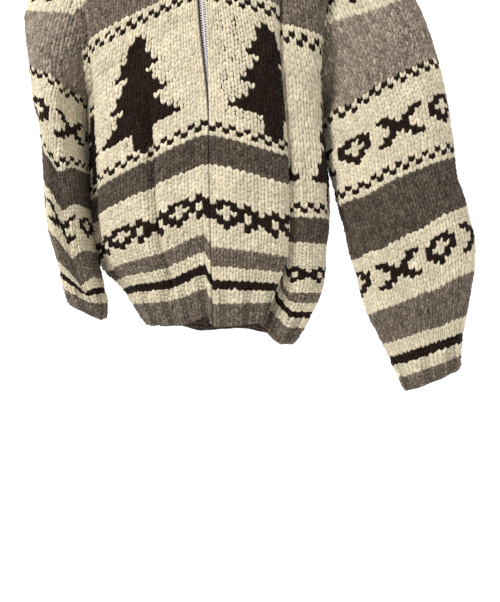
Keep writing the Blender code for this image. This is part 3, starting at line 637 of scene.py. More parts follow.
def carried(column, row):
    """The cloth behind the legs: dark yarn is carried there beside a tree, and from the left
    front's tree to the zip."""
    near = [body_colour(np.clip(column + step, -QUARTER, 3 * QUARTER), row) == DARK
            for step in (-1, 0, 1)]
    behind = np.any(near, axis=0)
    behind = behind | ((column > CARRIED_COLUMNS[0]) & (column < CARRIED_COLUMNS[1]))
    behind = behind & (row >= CARRIED_ROWS[0]) & (row < CARRIED_ROWS[1])
    return np.where(behind, DARK, body_colour(column, row))


round_body = np.arange(-QUARTER, 3 * QUARTER)
dark = body_colour(round_body, np.full(len(round_body), BODY_REPEAT_ROWS[0] + 2)) == DARK
print("dark stitches in a row of the body", int(dark.sum()), "of", len(dark))


# %% The sleeves' charts
def sleeve_colour(name):
    """A sleeve's chart."""
    def colour_of(column, row):
        colour = banded(SLEEVE_BANDS, row)
        starts = SLEEVE_STARTS[name]
        for first_row, start in zip(SLEEVE_REPEAT_ROWS, starts):
            repeated(colour, SLEEVE_REPEAT, column, row, first_row, start)
        repeated(colour, BODY_REPEAT, column, row, SLEEVE_TOP_ROW, starts[0])
        for first_row in SLEEVE_DOT_ROWS:
            dotted(colour, column, row, first_row)
        return colour
    return colour_of


print("the sleeves' repeats start at stitches", SLEEVE_STARTS)

# %% [markdown]
# ## One stitch
# A knit stitch shows as two legs that meet in a point below, and a purl stitch as two short bars.
# Yarn could be one long tube that loops through itself, but it would need a hundred faces a
# stitch, nearly all hidden. So only what shows is made: each leg is a leaf of yarn, three rings of
# four points and two tips. Thousands of them are placed at once, by adding each leg's outline in
# millimetres to its stitch's place.

# %% Outlines of the yarn
# Centre lines of a leg from tip to tip, as sideways and upward millimetres and height above the
# cloth, and the half width and thickness at each point.
LEG = np.array([
    (0.7, -1.8, 1.9, 0.0, 0.0),
    (1.6, 1.2, 1.6, 2.3, 2.1),
    (2.5, 4.2, 1.4, 2.7, 2.4),
    (3.4, 7.0, 1.1, 2.3, 1.9),
    (4.1, 9.2, 1.2, 0.0, 0.0),
])
HIGH_BAR = np.array([
    (-5.2, 3.6, 1.0, 0.0, 0.0),
    (-2.9, 4.9, 1.3, 1.6, 1.7),
    (0.0, 5.6, 1.4, 1.8, 2.0),
    (2.9, 4.9, 1.3, 1.6, 1.7),
    (5.2, 3.6, 1.0, 0.0, 0.0),
])
LOW_BAR = HIGH_BAR * (1, -1, 1, 1, 1) + (0, 5.4, 0, 0, 0)
ACROSS = np.array([-1.0, -0.45, 0.45, 1.0])
RAISED = np.array([0.0, 1.0, 1.0, 0.0])


def outline(line):
    """A leaf's 14 points as sideways, upward and height: each ring's points are the centre plus
    the direction square to the line times the half width."""
    along = np.gradient(line[:, :2], axis=0)
    along /= np.linalg.norm(along, axis=1, keepdims=True)
    square = np.stack([along[:, 1], -along[:, 0]], axis=1)
    rings = line[1:4, None, :2] + square[1:4, None] * (line[1:4, 3, None] * ACROSS)[..., None]
    heights = line[1:4, 2, None] + line[1:4, 4, None] * RAISED
    rings = np.concatenate([rings, heights[..., None]], axis=-1).reshape(12, 3)
    return np.concatenate([line[:1, :3], rings, line[4:, :3]])


def leaf_faces():
    """The faces between a leaf's tips and rings."""
    quads = [(1 + 4 * r + k, 2 + 4 * r + k, 6 + 4 * r + k, 5 + 4 * r + k)
             for r in range(2) for k in range(3)]
    tips = [(0, 2 + k, 1 + k) for k in range(3)] + [(9 + k, 10 + k, 13) for k in range(3)]
    return np.array(quads), np.array(tips)


QUADS, TIPS = leaf_faces()
print("a stitch has", 2 * (2 * len(QUADS) + len(TIPS)), "triangles")

# %% [markdown]
# ## Wool
# Cowichan wool is washed but not dyed: cream, a grey heather carded from light and dark fleece,
# and a brown so dark that it is nearly black. It is rough and hairy, so it has no gloss, only a
# soft sheen at grazing angles, and fine fibres that run along the yarn. Hairs could be grown on
# it, but on so many stitches they would be millions, so the fibres are in colour and bump alone.

# %% Colours and nodes
def linear(code):
    """An sRGB hex value as linear red, green and blue."""
    values = np.array([int(code[i:i + 2], 16) for i in (0, 2, 4)]) / 255
    return np.where(values <= 0.04045, values / 12.92, ((values + 0.055) / 1.055) ** 2.4)


WOOL_COLOURS = np.array([
    linear("DED2B7"), linear("766A5D"), linear("241811"), linear("5B5045"), linear("958879"),
])


def add_node(material, kind, settings=None, **links):
    """One node with its settings and its links. A link's key is the input's name, with _ for a
    space, or _ and the input's number, and it is a socket to link or a value to set."""
    node = material.node_tree.nodes.new(kind)
    for key, value in (settings or {}).items():
        setattr(node, key, value)
    for key, value in links.items():
        socket = node.inputs[int(key[1:])] if key[0] == "_" else node.inputs[key.replace("_", " ")]
        if isinstance(value, bpy.types.NodeSocket):
            material.node_tree.links.new(value, socket)
        else:
            socket.default_value = value
    return node


def new_material(name):
    """An empty node material with its Principled shader."""
    made = bpy.data.materials.new(name)
    made.use_nodes = True
    return made, made.node_tree.nodes["Principled BSDF"]


# %% Yarn
def yarn_material():
    """Six-ply wool: the stitch's own colour, mottled by darker and lighter fibres that run along
    the yarn, with a low bump of the same fibres, and a little darker in patches a few centimetres
    wide, where it is worn. The map runs across the yarn in u, along it in v."""
    made, shader = new_material("wool_yarn")
    tree = made.node_tree
    colour = add_node(made, "ShaderNodeAttribute", {"attribute_name": "colour"})
    map_uv = add_node(made, "ShaderNodeUVMap", {"uv_map": "yarn"})
    stretched = add_node(made, "ShaderNodeMapping", Vector=map_uv.outputs[0], Scale=(7, 2.2, 1))
    fibre = add_node(made, "ShaderNodeTexNoise", Vector=stretched.outputs[0], Scale=1.0,
                     Detail=4.0, Roughness=0.7)
    place = add_node(made, "ShaderNodeTexCoord")
    heather = add_node(made, "ShaderNodeTexNoise", Vector=place.outputs["Object"], Scale=420.0,
                       Detail=3.0)
    mixed = add_node(made, "ShaderNodeMath", {"operation": "ADD"}, _0=fibre.outputs[0],
                     _1=heather.outputs[0])
    mottle = add_node(made, "ShaderNodeAttribute", {"attribute_name": "mottle"})
    centred = add_node(made, "ShaderNodeMath", {"operation": "SUBTRACT"}, _0=mixed.outputs[0],
                       _1=1.0)
    shade = add_node(made, "ShaderNodeMath", {"operation": "MULTIPLY_ADD"},
                     _0=centred.outputs[0], _1=mottle.outputs["Fac"], _2=1.0)
    patches = add_node(made, "ShaderNodeTexNoise", Vector=place.outputs["Object"], Scale=28.0,
                       Detail=2.0)
    worn = add_node(made, "ShaderNodeMapRange", Value=patches.outputs[0], From_Min=0.3,
                    From_Max=0.7, To_Min=0.88, To_Max=1.06)
    both = add_node(made, "ShaderNodeMath", {"operation": "MULTIPLY"}, _0=shade.outputs[0],
                    _1=worn.outputs[0])
    scaled = add_node(made, "ShaderNodeVectorMath", {"operation": "SCALE"},
                      _0=colour.outputs["Color"], Scale=both.outputs[0])
    tree.links.new(scaled.outputs[0], shader.inputs["Base Color"])
    bump = add_node(made, "ShaderNodeBump", Height=fibre.outputs[0], Strength=0.8,
                    Distance=0.0008)
    tree.links.new(bump.outputs[0], shader.inputs["Normal"])
    shader.inputs["Roughness"].default_value = 0.95
    shader.inputs["Specular IOR Level"].default_value = 0.1
    shader.inputs["Sheen Weight"].default_value = 0.08
    shader.inputs["Sheen Roughness"].default_value = 0.5
    return made


# %% The cloth's own material
def backing_material():
    """The cloth between and behind the legs, in shadow: the stitch's colour, darker, with the
    bars of the purl side as a bump of wavering lines, two a row."""
    made, shader = new_material("wool_backing")
    tree = made.node_tree
    colour = add_node(made, "ShaderNodeAttribute", {"attribute_name": "colour"})
    map_uv = add_node(made, "ShaderNodeUVMap", {"uv_map": "yarn"})
    bars = add_node(made, "ShaderNodeTexWave", {"bands_direction": "Y"}, Vector=map_uv.outputs[0],
                    Scale=0.63, Distortion=1.6, Detail=1.0)
    shade = add_node(made, "ShaderNodeMapRange", Value=bars.outputs[1], To_Min=0.72, To_Max=1.0)
    scaled = add_node(made, "ShaderNodeVectorMath", {"operation": "SCALE"},
                      _0=colour.outputs["Color"], Scale=shade.outputs[0])
    tree.links.new(scaled.outputs[0], shader.inputs["Base Color"])
    bump = add_node(made, "ShaderNodeBump", Height=bars.outputs[1], Strength=0.8, Distance=0.0015)
    tree.links.new(bump.outputs[0], shader.inputs["Normal"])
    shader.inputs["Roughness"].default_value = 0.97
    shader.inputs["Specular IOR Level"].default_value = 0.1
    return made


WOOL, BACKING = yarn_material(), backing_material()
print("wool", [tuple(np.round(c, 3)) for c in WOOL_COLOURS])

# %% [markdown]
# ## Knitting a piece
# Each piece gets a thin backing, which is its cloth, and on it the stitches. A picture of
# knitting on a plain sheet would look flat at its outline, so the stitches are real. The backing
# has one face a stitch, so the chart colours it too, and no light colour shows between dark legs.


# %% The backing
def object_from(name, points, faces, material):
    """A smooth mesh object at the origin."""
    mesh = bpy.data.meshes.new(name)
    mesh.from_pydata(points.tolist(), [], [list(f) for part in faces for f in part.tolist()])
    mesh.materials.append(material)
    mesh.shade_smooth()
    made = bpy.data.objects.new(name, mesh)
    bpy.context.scene.collection.objects.link(made)
    return made


def corners_of(mesh):
    """The vertex at each face corner."""
    corners = np.empty(len(mesh.loops), np.int32)
    mesh.loops.foreach_get("vertex_index", corners)
    return corners


def backing(name, surface, place, columns, rows, colour_of, rise=None, out=1.9, inside=2.4):
    """A closed shell: a face for each stitch outside, the same inside, and a rim round them, out
    and inside being their distances from the surface in millimetres. columns and rows are the
    stitches' borders; faces that an edge has closed up are left out."""
    stitch, row = np.meshgrid(columns.astype(float), rows.astype(float), indexing="ij")
    lift = 0 if rise is None else rise(stitch, row)
    s, t = place(stitch, row)
    outer = surface.at(s, t, (out + lift) * MM).reshape(-1, 3)
    inner = surface.at(s, t, (lift * 0.5 - inside) * MM + 0 * s).reshape(-1, 3)
    _, first, same = np.unique(np.round(outer * 1e5).astype(int), axis=0,
                               return_index=True, return_inverse=True)
    same = same.reshape(stitch.shape)
    quads = np.stack([same[:-1, :-1], same[1:, :-1], same[1:, 1:], same[:-1, 1:]], axis=-1)
    cells = np.stack(np.meshgrid(columns[:-1], rows[:-1], indexing="ij"), axis=-1).reshape(-1, 2)
    quads = quads.reshape(-1, 4)
    wide = np.array([len(set(q)) == 4 for q in quads.tolist()])
    quads, cells = quads[wide], cells[wide]
    ends = np.stack([quads, np.roll(quads, -1, axis=1)], axis=-1).reshape(-1, 2)
    owner = np.repeat(np.arange(len(quads)), 4)
    key = ends[:, 0] * len(first) + ends[:, 1]
    lone = ~np.isin(ends[:, 1] * len(first) + ends[:, 0], key)
    rim = np.stack([ends[lone, 1], ends[lone, 0], ends[lone, 0] + len(first),
                    ends[lone, 1] + len(first)], axis=-1)
    points = np.concatenate([outer[first], inner[first]])
    made = object_from(name, points, [quads, quads[:, ::-1] + len(first), rim], BACKING)
    shades = WOOL_COLOURS[colour_of(cells[:, 0], cells[:, 1])]
    shades = np.concatenate([shades, shades, shades[owner[lone]]])
    shades = np.concatenate([shades, np.ones((len(shades), 1))], axis=1)
    made.data.attributes.new("colour", "FLOAT_COLOR", "FACE").data.foreach_set(
        "color", shades.astype(np.float32).ravel())
    chart_map = np.stack([stitch.ravel()[first], row.ravel()[first]], axis=1)
    chart_map = np.concatenate([chart_map, chart_map])[corners_of(made.data)]
    made.data.uv_layers.new(name="yarn").data.foreach_set(
        "uv", chart_map.astype(np.float32).ravel())
    return made


# %% Colour and maps of the leaves
# For each wool, how much one leg's colour differs from the next, and how strongly fibres of
# another colour show in it. Shade is painted on each leaf: darker at its rim and tips, where it
# sinks into the cloth, and a little lighter along its middle.
RANDOM = np.random.default_rng(7)
SPREAD = np.array([0.07, 0.18, 0.2, 0.18, 0.18])
MOTTLE = np.array([0.6, 3.0, 1.2, 3.2, 2.8])
LEAF_PAINTED_SHADE = np.array([0.82] + [0.84, 1.04, 1.04, 0.84] * 3 + [0.82])
LEAF_POINTS, DARKEST, NOISE_REACH, MARGIN = len(LEAF_PAINTED_SHADE), 0.004, 50, 0.08


def colour_leaves(mesh, index):
    """Each leaf's own shade of its wool's colour, darker by painted shade at its rim and tips,
    and how mottled it is.
    """
    shades = WOOL_COLOURS[index]
    shades = shades * (1 + SPREAD[index] * RANDOM.normal(0, 1, len(index)))[:, None]
    # Painted shade: the colour of each point is darkened at the leaf's rim and tips.
    shades = np.clip(shades, DARKEST, 1)[:, None] * LEAF_PAINTED_SHADE[None, :, None]
    shades = np.concatenate([shades, np.ones((len(index), LEAF_POINTS, 1))], axis=2)
    mesh.attributes.new("colour", "FLOAT_COLOR", "POINT").data.foreach_set(
        "color", shades.astype(np.float32).ravel())
    mesh.attributes.new("mottle", "FLOAT", "POINT").data.foreach_set(
        "value", np.repeat(MOTTLE[index], LEAF_POINTS).astype(np.float32))


def map_leaves(mesh, count):
    """Two maps of each leaf, u across it and v along it: one puts it anywhere on the fibres'
    noise, and the other in a square of its own for baking."""
    across = np.concatenate([[0.5], np.tile((ACROSS + 1) / 2, 3), [0.5]])
    along = np.concatenate([[0.0], np.repeat([0.3, 0.5, 0.7], 4), [1.0]])
    leaf = np.stack([across, along], axis=1)[None]
    anywhere = leaf + RANDOM.uniform(0, NOISE_REACH, (count, 1, 2))
    side = math.ceil(math.sqrt(count))
    square = np.stack([np.arange(count) % side, np.arange(count) // side], axis=1)[:, None]
    alone = (square + MARGIN + (1 - 2 * MARGIN) * leaf) / side
    corners = corners_of(mesh)
    for name, places in (("yarn", anywhere), ("OFBake", alone)):
        mesh.uv_layers.new(name=name).data.foreach_set(
            "uv", places.reshape(-1, 2)[corners].astype(np.float32).ravel())


# %% The stitches
# WANDER is how far a leaf lies from its place, in millimetres sideways, up and out, SIZE_SPREAD
# how much leaves differ in size, and INNER_FACE how deep they start inside the cloth.
WANDER, SIZE_SPREAD, INNER_FACE = (0.4, 0.5, 0.25), 0.08, 1.2


def stitches(name, surface, place, cells, colour_of, lines, rise=None, width=1.0, inside=False):
    """Leaves of yarn at each stitch. cells are columns and rows, and lines the outlines that each
    stitch gets; a leaf's point is its stitch's place plus the outline over the stitch's size.
    Inside the cloth they lie the other way round, on its inner face."""
    shapes = np.array([outline(line) for line in lines])
    cell = np.repeat(cells, len(shapes), axis=0)
    shape = np.tile(shapes, (len(cells), 1, 1))
    count = len(cell)
    wander = RANDOM.normal(0, 1, (count, 1, 3)) * WANDER
    shape = shape * RANDOM.normal(1, SIZE_SPREAD, (count, 1, 1)) + wander
    stitch = cell[:, :1] + 0.5 + shape[..., 0] / STITCH_MM * width
    row = cell[:, 1:] + shape[..., 1] / ROW_MM
    lift = 0 if rise is None else rise(cell[:, :1] + 0.5 + 0 * stitch, row)
    s, t = place(stitch, row)
    height = 0.5 * lift - INNER_FACE - shape[..., 2] if inside else shape[..., 2] + lift
    points = surface.at(s, t, height * MM).reshape(-1, 3)
    start = (np.arange(count) * LEAF_POINTS)[:, None, None]
    faces = [(QUADS[None] + start).reshape(-1, 4), (TIPS[None] + start).reshape(-1, 3)]
    if inside:
        faces = [part[:, ::-1] for part in faces]
    made = object_from(name, points, faces, WOOL)
    colour_leaves(made.data, colour_of(cell[:, 0], cell[:, 1]))
    map_leaves(made.data, count)
    return made


# %% Handing pieces over
def mirrored(line):
    """The leg on the other side of the stitch."""
    return line * (-1, 1, 1, 1, 1)


LEGS, BARS = [LEG, mirrored(LEG)], [HIGH_BAR, LOW_BAR]
total = 0


def finish(shell, parts, node):
    """Ride and replace: the shell is the cloth, and its stitches lie on it. All of them ride on the
    cardigan, the plain part node is hidden, and their triangles are counted."""
    global total
    for piece in [shell, *parts]:
        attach(piece, "cardigan")
        total += sum(len(p.vertices) - 2 for p in piece.data.polygons)
    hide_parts(node)


print("ready to knit")

# %% [markdown]
# ## The two fronts and the back
# They are knitted plain from the hem to the shoulders. A stitch is left out where its middle
# would lie past the neck, rather than cut in two there, because wool can't be cut. The back's
# stitches are two meshes, so that neither is too large.


# %% Fronts
# A stitch of the back or a sleeve is knitted where the edge above it is more than this share up
# its row, and one of the collar where the neck's edge is less than this share up it.
TOP_ROW, BACK_SPLIT = 101, 55
BACK_NEEDS, SLEEVE_NEEDS, COLLAR_NEEDS = 0.7, 0.8, 0.3


def grid_cells(columns, rows):
    """Every pair of a column and a row."""
    return np.stack(np.meshgrid(columns, rows, indexing="ij"), axis=-1).reshape(-1, 2)


for name, side in (("front_left", 1), ("front_right", -1)):
    columns = np.arange(0, QUARTER + 1) if side > 0 else np.arange(-QUARTER, 1)
    rows = np.arange(HEM_ROWS, TOP_ROW)
    place = on_front(side)
    shell = backing(name + "_cloth", SURFACES["front"], place, columns, rows, carried)
    cells = grid_cells(columns[:-1], rows[:-1])
    middle = np.abs(cells[:, 0] + 0.5)
    keep = (middle > neck_line(cells[:, 1] + 0.5)) | (cells[:, 1] < ZIP_ROW)
    knit = stitches(name + "_knit", SURFACES["front"], place, cells[keep], body_colour, LEGS)
    finish(shell, [knit], name)
    print(name, int(keep.sum()), "stitches")

# %% Back
columns, rows = np.arange(QUARTER, 3 * QUARTER + 1), np.arange(HEM_ROWS, TOP_ROW)
shell = backing("back_cloth", SURFACES["back"], on_back, columns, rows, body_colour)
knits = []
for part, low, high in (("low", HEM_ROWS, BACK_SPLIT), ("high", BACK_SPLIT, SHOULDER_ROW)):
    cells = grid_cells(columns[:-1], np.arange(low, high))
    edge = on_back(cells[:, 0] + 0.5, np.full(len(cells), float(TOP_ROW)))[1]
    keep = cells[:, 1] + BACK_NEEDS < edge
    knits.append(stitches("back_knit_" + part, SURFACES["back"], on_back, cells[keep],
                          body_colour, LEGS))
finish(shell, knits, "back")
print("so far", total, "triangles")

# %% [markdown]
# ## The hem
# The lowest nine rows are a rib of two knit and two purl stitches, which draws the hem in. The
# knit pairs stand up and the purl pairs lie back, so the rib is a wave in the cloth's height, and
# the stitches follow it. A bump alone would leave the hem's edge straight, where ribs show most.
# The back's hem is seen from inside too, so it gets stitches there.


# %% Rib
RIB_HEIGHT, RIB_FADE, TURNED_IN, TURNED_ROWS, SQUEEZE = 2.5, 3, 1.8, 1.6, 0.32


def rib(stitch, row):
    """The rib's height in millimetres, a cosine four stitches long that fades at its last row,
    and turned in at its first one."""
    ribbed = RIB_HEIGHT * np.cos(stitch * math.pi / 2) * ease((HEM_ROWS + 0.5 - row) / RIB_FADE)
    return ribbed - TURNED_IN * ease((TURNED_ROWS - row) / TURNED_ROWS)


def drawn_in(place):
    """Places with the purl pairs squeezed, s + k sin(s pi/2), less towards the last row."""
    def squeezed(stitch, row):
        fade = ease((HEM_ROWS + 0.5 - row) / RIB_FADE)
        return place(stitch + SQUEEZE * np.sin(stitch * math.pi / 2) * fade, row)
    return squeezed


def knit_rib(name, surface, place, columns, rows, colour_of, width=1.0, lined=False):
    """A ribbed piece: legs in the knit columns and bars in the purl ones, and the other way round
    on its inside where that shows."""
    place = drawn_in(place)
    shell = backing(name + "_cloth", surface, place, columns, rows, colour_of, rib)
    cells = grid_cells(columns[:-1], rows[:-1])
    raised = (cells[:, 0] + 1) % 4 < 2
    parts = [
        stitches(name + "_knit", surface, place, cells[raised], colour_of, LEGS, rib, width),
        stitches(name + "_purl", surface, place, cells[~raised], colour_of, BARS, rib, width),
    ]
    if lined:
        for part, where, lines in (("_inner_knit", ~raised, LEGS), ("_inner_purl", raised, BARS)):
            parts.append(stitches(name + part, surface, place, cells[where], colour_of, lines, rib,
                                  width, inside=True))
    finish(shell, parts, name)


# %% Hem
hem_rows = np.arange(0, HEM_ROWS + 1)
knit_rib("hem_front_left", SURFACES["front"], on_front(1), np.arange(0, QUARTER + 1), hem_rows,
         body_colour)
knit_rib("hem_front_right", SURFACES["front"], on_front(-1), np.arange(-QUARTER, 1), hem_rows,
         body_colour)
knit_rib("hem_back", SURFACES["back"], on_back, np.arange(QUARTER, 3 * QUARTER + 1), hem_rows,
         body_colour, lined=True)
print("so far", total, "triangles")

# %% [markdown]
# ## The sleeves
# Each is knitted round from its cuff to the armhole, so it has no seam along it. A tube bent by a
# curve would keep one width, but a sleeve hangs fuller at the elbow and has creases of its own, so
# it is the tube of the tables above. Its cuff is the rib of the hem, a little narrower.

# %% Sleeves and cuffs
for name, sleeve in SLEEVES.items():
    around, colour_of = sleeve["stitches"], sleeve_colour(name)
    surface = SURFACES["sleeve_" + name]
    place = on_sleeve(surface)
    columns, rows = np.arange(0, around + 1), np.arange(CUFF_ROWS, sleeve["tip_row"] + 2)
    shell = backing("sleeve_" + name + "_cloth", surface, place, columns, rows, colour_of)
    cells = grid_cells(columns[:-1], rows[:-1])
    middle = cells + 0.5
    edge = surface.read(surface.top, middle[:, 0], middle[:, 1])[:, 0]
    keep = cells[:, 1] + SLEEVE_NEEDS < edge
    knit = stitches("sleeve_" + name + "_knit", surface, place, cells[keep], colour_of, LEGS)
    finish(shell, [knit], "sleeve_" + name)
    knit_rib("cuff_" + name, SURFACES["cuff_" + name], on_sleeve(SURFACES["cuff_" + name]),
             np.arange(0, CUFF_STITCHES + 1), np.arange(0, CUFF_ROWS + 1), colour_of,
             0.9)
    print(name, "sleeve", int(keep.sum()), "stitches")
print("so far", total, "triangles")

# %% [markdown]
# ## The collar
# The shawl collar starts beside the top of the zip, stands up along the neck, rolls over and
# falls outside. It is garter stitch, all purl bars, in grey with a cream stripe. Its rows are
# counted from the neck, and its last row is the edge of its fall. The tables hold how its section
# changes round the neck: how far it is turned sideways in degrees, how high it stands and how far
# out its fall reaches. A strip bent along the neck would keep one width, but this one grows wider
# to the back, so its surface is a smooth curve through sections of their own.

# %% Sections of the collar
COLLAR_FRONT_COLUMNS = ("row", "turned", "stand", "fall")
COLLAR_FRONT = (
    (79.5, -36, 0.009, 0.034),
    (83.0, -36, 0.009, 0.044),
    (87.0, -34, 0.010, 0.054),
    (91.0, -30, 0.013, 0.062),
    (95.0, -22, 0.018, 0.069),
    (98.4, -10, 0.025, 0.075),
    (100.0, 0, 0.030, 0.078),
)
COLLAR_BACK_COLUMNS = ("stitches_from_centre", "turned", "stand", "fall")
COLLAR_BACK = (
    (9.6, -16, 0.032, 0.080),
    (8.2, -38, 0.034, 0.082),
    (6.2, -58, 0.036, 0.084),
    (3.2, -76, 0.037, 0.085),
    (0.0, -90, 0.038, 0.086),
)
# COLLAR_ROLL is the radius of its roll and COLLAR_HOLD how far its fall's edge stays above the
# body. It starts COLLAR_IN inside the neck's edge and COLLAR_BELOW under it.
COLLAR_ROLL, COLLAR_HOLD, COLLAR_IN, COLLAR_ROWS = 7 * MM, 8 * MM, 4.8 * MM, 18
COLLAR_BEFORE, COLLAR_BELOW = 60 * MM, 2.5 * MM
FALL_BEND, FALL_POWER = 40 * MM, 1.3
STRIPE_ROWS = (13, 15)
print(len(COLLAR_FRONT), "sections by", ", ".join(COLLAR_FRONT_COLUMNS))
print(len(COLLAR_BACK), "sections by", ", ".join(COLLAR_BACK_COLUMNS))


# %% One section
def unit(vectors):
    """Vectors over their own lengths."""
    return vectors / (np.linalg.norm(vectors, axis=-1, keepdims=True) + 1e-12)


def collar_section(part, stitch, row, turned, stand, fall, left):
    """The middle of the collar as a line of points, from the neck's edge up, over and out. Its
    run is its distance out from that edge over the body, and its rise the height above it."""
    turned = math.radians(turned)
    sideways = 1 if left == (part == "front") else -1
    angle = np.radians([135, 90, 45])
    run_roll = COLLAR_ROLL * (1 + np.cos(angle)) - COLLAR_IN
    rise_roll = stand + COLLAR_ROLL * np.sin(angle)
    share = np.array([0.25, 0.5, 0.75, 1.0])
    run_fall = run_roll[-1] + (fall - run_roll[-1]) * share ** (1 + stand / FALL_BEND)
    rise_fall = COLLAR_HOLD + (rise_roll[-1] - COLLAR_HOLD) * (1 - share) ** FALL_POWER
    run = np.concatenate([[-COLLAR_IN] * 3, run_roll, run_fall])
    rise = np.concatenate([[-COLLAR_BELOW, 0.5 * stand, stand], rise_roll, rise_fall])
    out = np.maximum(run, 0)
    s = stitch + math.cos(turned) * sideways / STITCH * out
    t = np.minimum(row + math.sin(turned) / ROW * out, SHOULDER_ROW)
    base = SURFACES[part].at(s, t, 0 * s)
    up = unit(SURFACES[part].read(SURFACES[part].normals, s, t))
    if row >= SHOULDER_ROW:
        up = unit(up * (1, 0, 1))
    ahead = unit(base[-1] - base[0])
    ahead = unit(ahead - up[0] * np.dot(ahead, up[0]))
    return base + np.minimum(run, 0)[:, None] * ahead + rise[:, None] * up


# %% The collar's surface
def smooth(points, times=6):
    """A Catmull-Rom curve through points along the first axis, with times points for each: b plus
    half of f(c - a) + f2(2a - 5b + 4c - d) + f3(3(b - c) + d - a) between b and c."""
    ends = np.concatenate([2 * points[:1] - points[1:2], points, 2 * points[-1:] - points[-2:-1]])
    a, b, c, d = (ends[i:len(ends) - 3 + i, None] for i in range(4))
    f = (np.arange(times) / times)[None, :, None, None]
    curve = b + 0.5 * f * (c - a + f * (2 * a - 5 * b + 4 * c - d + f * (3 * (b - c) + d - a)))
    return np.concatenate([curve.reshape(-1, *points.shape[1:]), points[-1:]])


def collar_surface():
    """The collar's surface, and for each of its stitches the row at which the neck's edge is. Each
    line runs on for COLLAR_BEFORE below that edge, so that every row has a place on it."""
    halves = []
    for left in (False, True):
        half = [collar_section("front", float(neck_line(row)) * (1 if left else -1), row, turned,
                               stand, fall, left)
                for row, turned, stand, fall in COLLAR_FRONT]
        half += [collar_section("back", 2 * QUARTER + away * (-1 if left else 1), SHOULDER_ROW
                                - NECK_DIP * (1 - (away / NECK_STITCH) ** 2), turned, stand,
                                fall, left)
                 for away, turned, stand, fall in COLLAR_BACK]
        halves.append(half)
    lines = smooth(np.array(halves[0] + halves[1][-2::-1]))
    lines = smooth(lines.transpose(1, 0, 2)).transpose(1, 0, 2)
    middle = lines[:, lines.shape[1] // 2]
    run = np.concatenate([[0], np.cumsum(np.linalg.norm(np.diff(middle, axis=0), axis=1))])
    count = round(run[-1] / STITCH)
    columns = np.arange(0, count + 0.1, ROW_STEP)
    rows = np.arange(0, COLLAR_ROWS + 0.1, ROW_STEP)
    even = np.interp(columns / count * run[-1], run, np.arange(len(run)))
    first = np.minimum(even.astype(int), len(run) - 2)
    share = (even - first)[:, None, None]
    lines = lines[first] * (1 - share) + lines[first + 1] * share
    points = np.zeros((len(columns), len(rows), 4))
    for i, line in enumerate(lines):
        before = line[0] - COLLAR_BEFORE * unit(line[1] - line[0])
        line = np.concatenate([before[None], line])
        along = np.concatenate([[0], np.cumsum(np.linalg.norm(np.diff(line, axis=0), axis=1))])
        at = along[-1] - (COLLAR_ROWS - rows) * ROW
        for k in range(3):
            points[i, :, k] = np.interp(at, along, line[:, k])
        points[i, :, 3] = COLLAR_ROWS - (along[-1] - COLLAR_BEFORE) / ROW
    return Surface(columns, rows, points), count


# %% Collar
def collar_colour(column, row):
    """Grey with a cream stripe near the edge of the fall."""
    stripe = (row >= STRIPE_ROWS[0]) & (row < STRIPE_ROWS[1])
    return np.where(stripe, CREAM, GREY)


surface, count = collar_surface()


def on_collar(stitch, row):
    """Places on the collar, none inside the neck's edge."""
    return stitch, np.maximum(row, surface.read(surface.top, stitch, row)[..., 0])


columns, rows = np.arange(0, count + 1), np.arange(0, COLLAR_ROWS + 1)
shell = backing("collar_cloth", surface, on_collar, columns, rows, collar_colour)
cells = grid_cells(columns[:-1], rows[:-1])
edge = surface.read(surface.top, cells[:, 0] + 0.5, cells[:, 1])[:, 0]
keep = cells[:, 1] + COLLAR_NEEDS > edge
purl = stitches("collar_purl", surface, on_collar, cells[keep], collar_colour, BARS)
finish(shell, [purl], "collar")
print("collar", count, "stitches round;", total, "triangles")

# %% [markdown]
# ## The zip
# It is a metal zip on woven tape, sewn behind the fronts' edges. The teeth are real ones, 3.6 mm
# apart on each side, and the two sides mesh. A striped strip would do from afar, but the light
# between real teeth is what makes a zip look like metal, and boxes are cheap.


# %% Zip materials
def tape_material():
    """Woven tape: a grey-brown twill 0.4 mm fine, which reads as matt cloth."""
    made, shader = new_material("woven_tape")
    place = add_node(made, "ShaderNodeTexCoord")
    weave = add_node(made, "ShaderNodeTexWave", {"bands_direction": "DIAGONAL"},
                     Vector=place.outputs["Object"], Scale=900.0, Distortion=0.4)
    shade = add_node(made, "ShaderNodeMix", {"data_type": "RGBA"}, Factor=weave.outputs[1],
                     _6=(*linear("4A4240"), 1), _7=(*linear("665C58"), 1))
    made.node_tree.links.new(shade.outputs[2], shader.inputs["Base Color"])
    shader.inputs["Roughness"].default_value = 0.9
    return made


def metal_material():
    """Aluminium gone dull: its roughness varies with fine wear, which breaks up the highlight."""
    made, shader = new_material("dull_aluminium")
    place = add_node(made, "ShaderNodeTexCoord")
    wear = add_node(made, "ShaderNodeTexNoise", Vector=place.outputs["Object"], Scale=2500.0,
                    Detail=3.0)
    rough = add_node(made, "ShaderNodeMapRange", Value=wear.outputs[0], To_Min=0.4, To_Max=0.65)
    made.node_tree.links.new(rough.outputs[0], shader.inputs["Roughness"])
    shader.inputs["Base Color"].default_value = (*linear("A5A0A0"), 1)
    shader.inputs["Metallic"].default_value = 1.0
    return made


TAPE, METAL = tape_material(), metal_material()
print("zip materials", TAPE.name, "and", METAL.name)

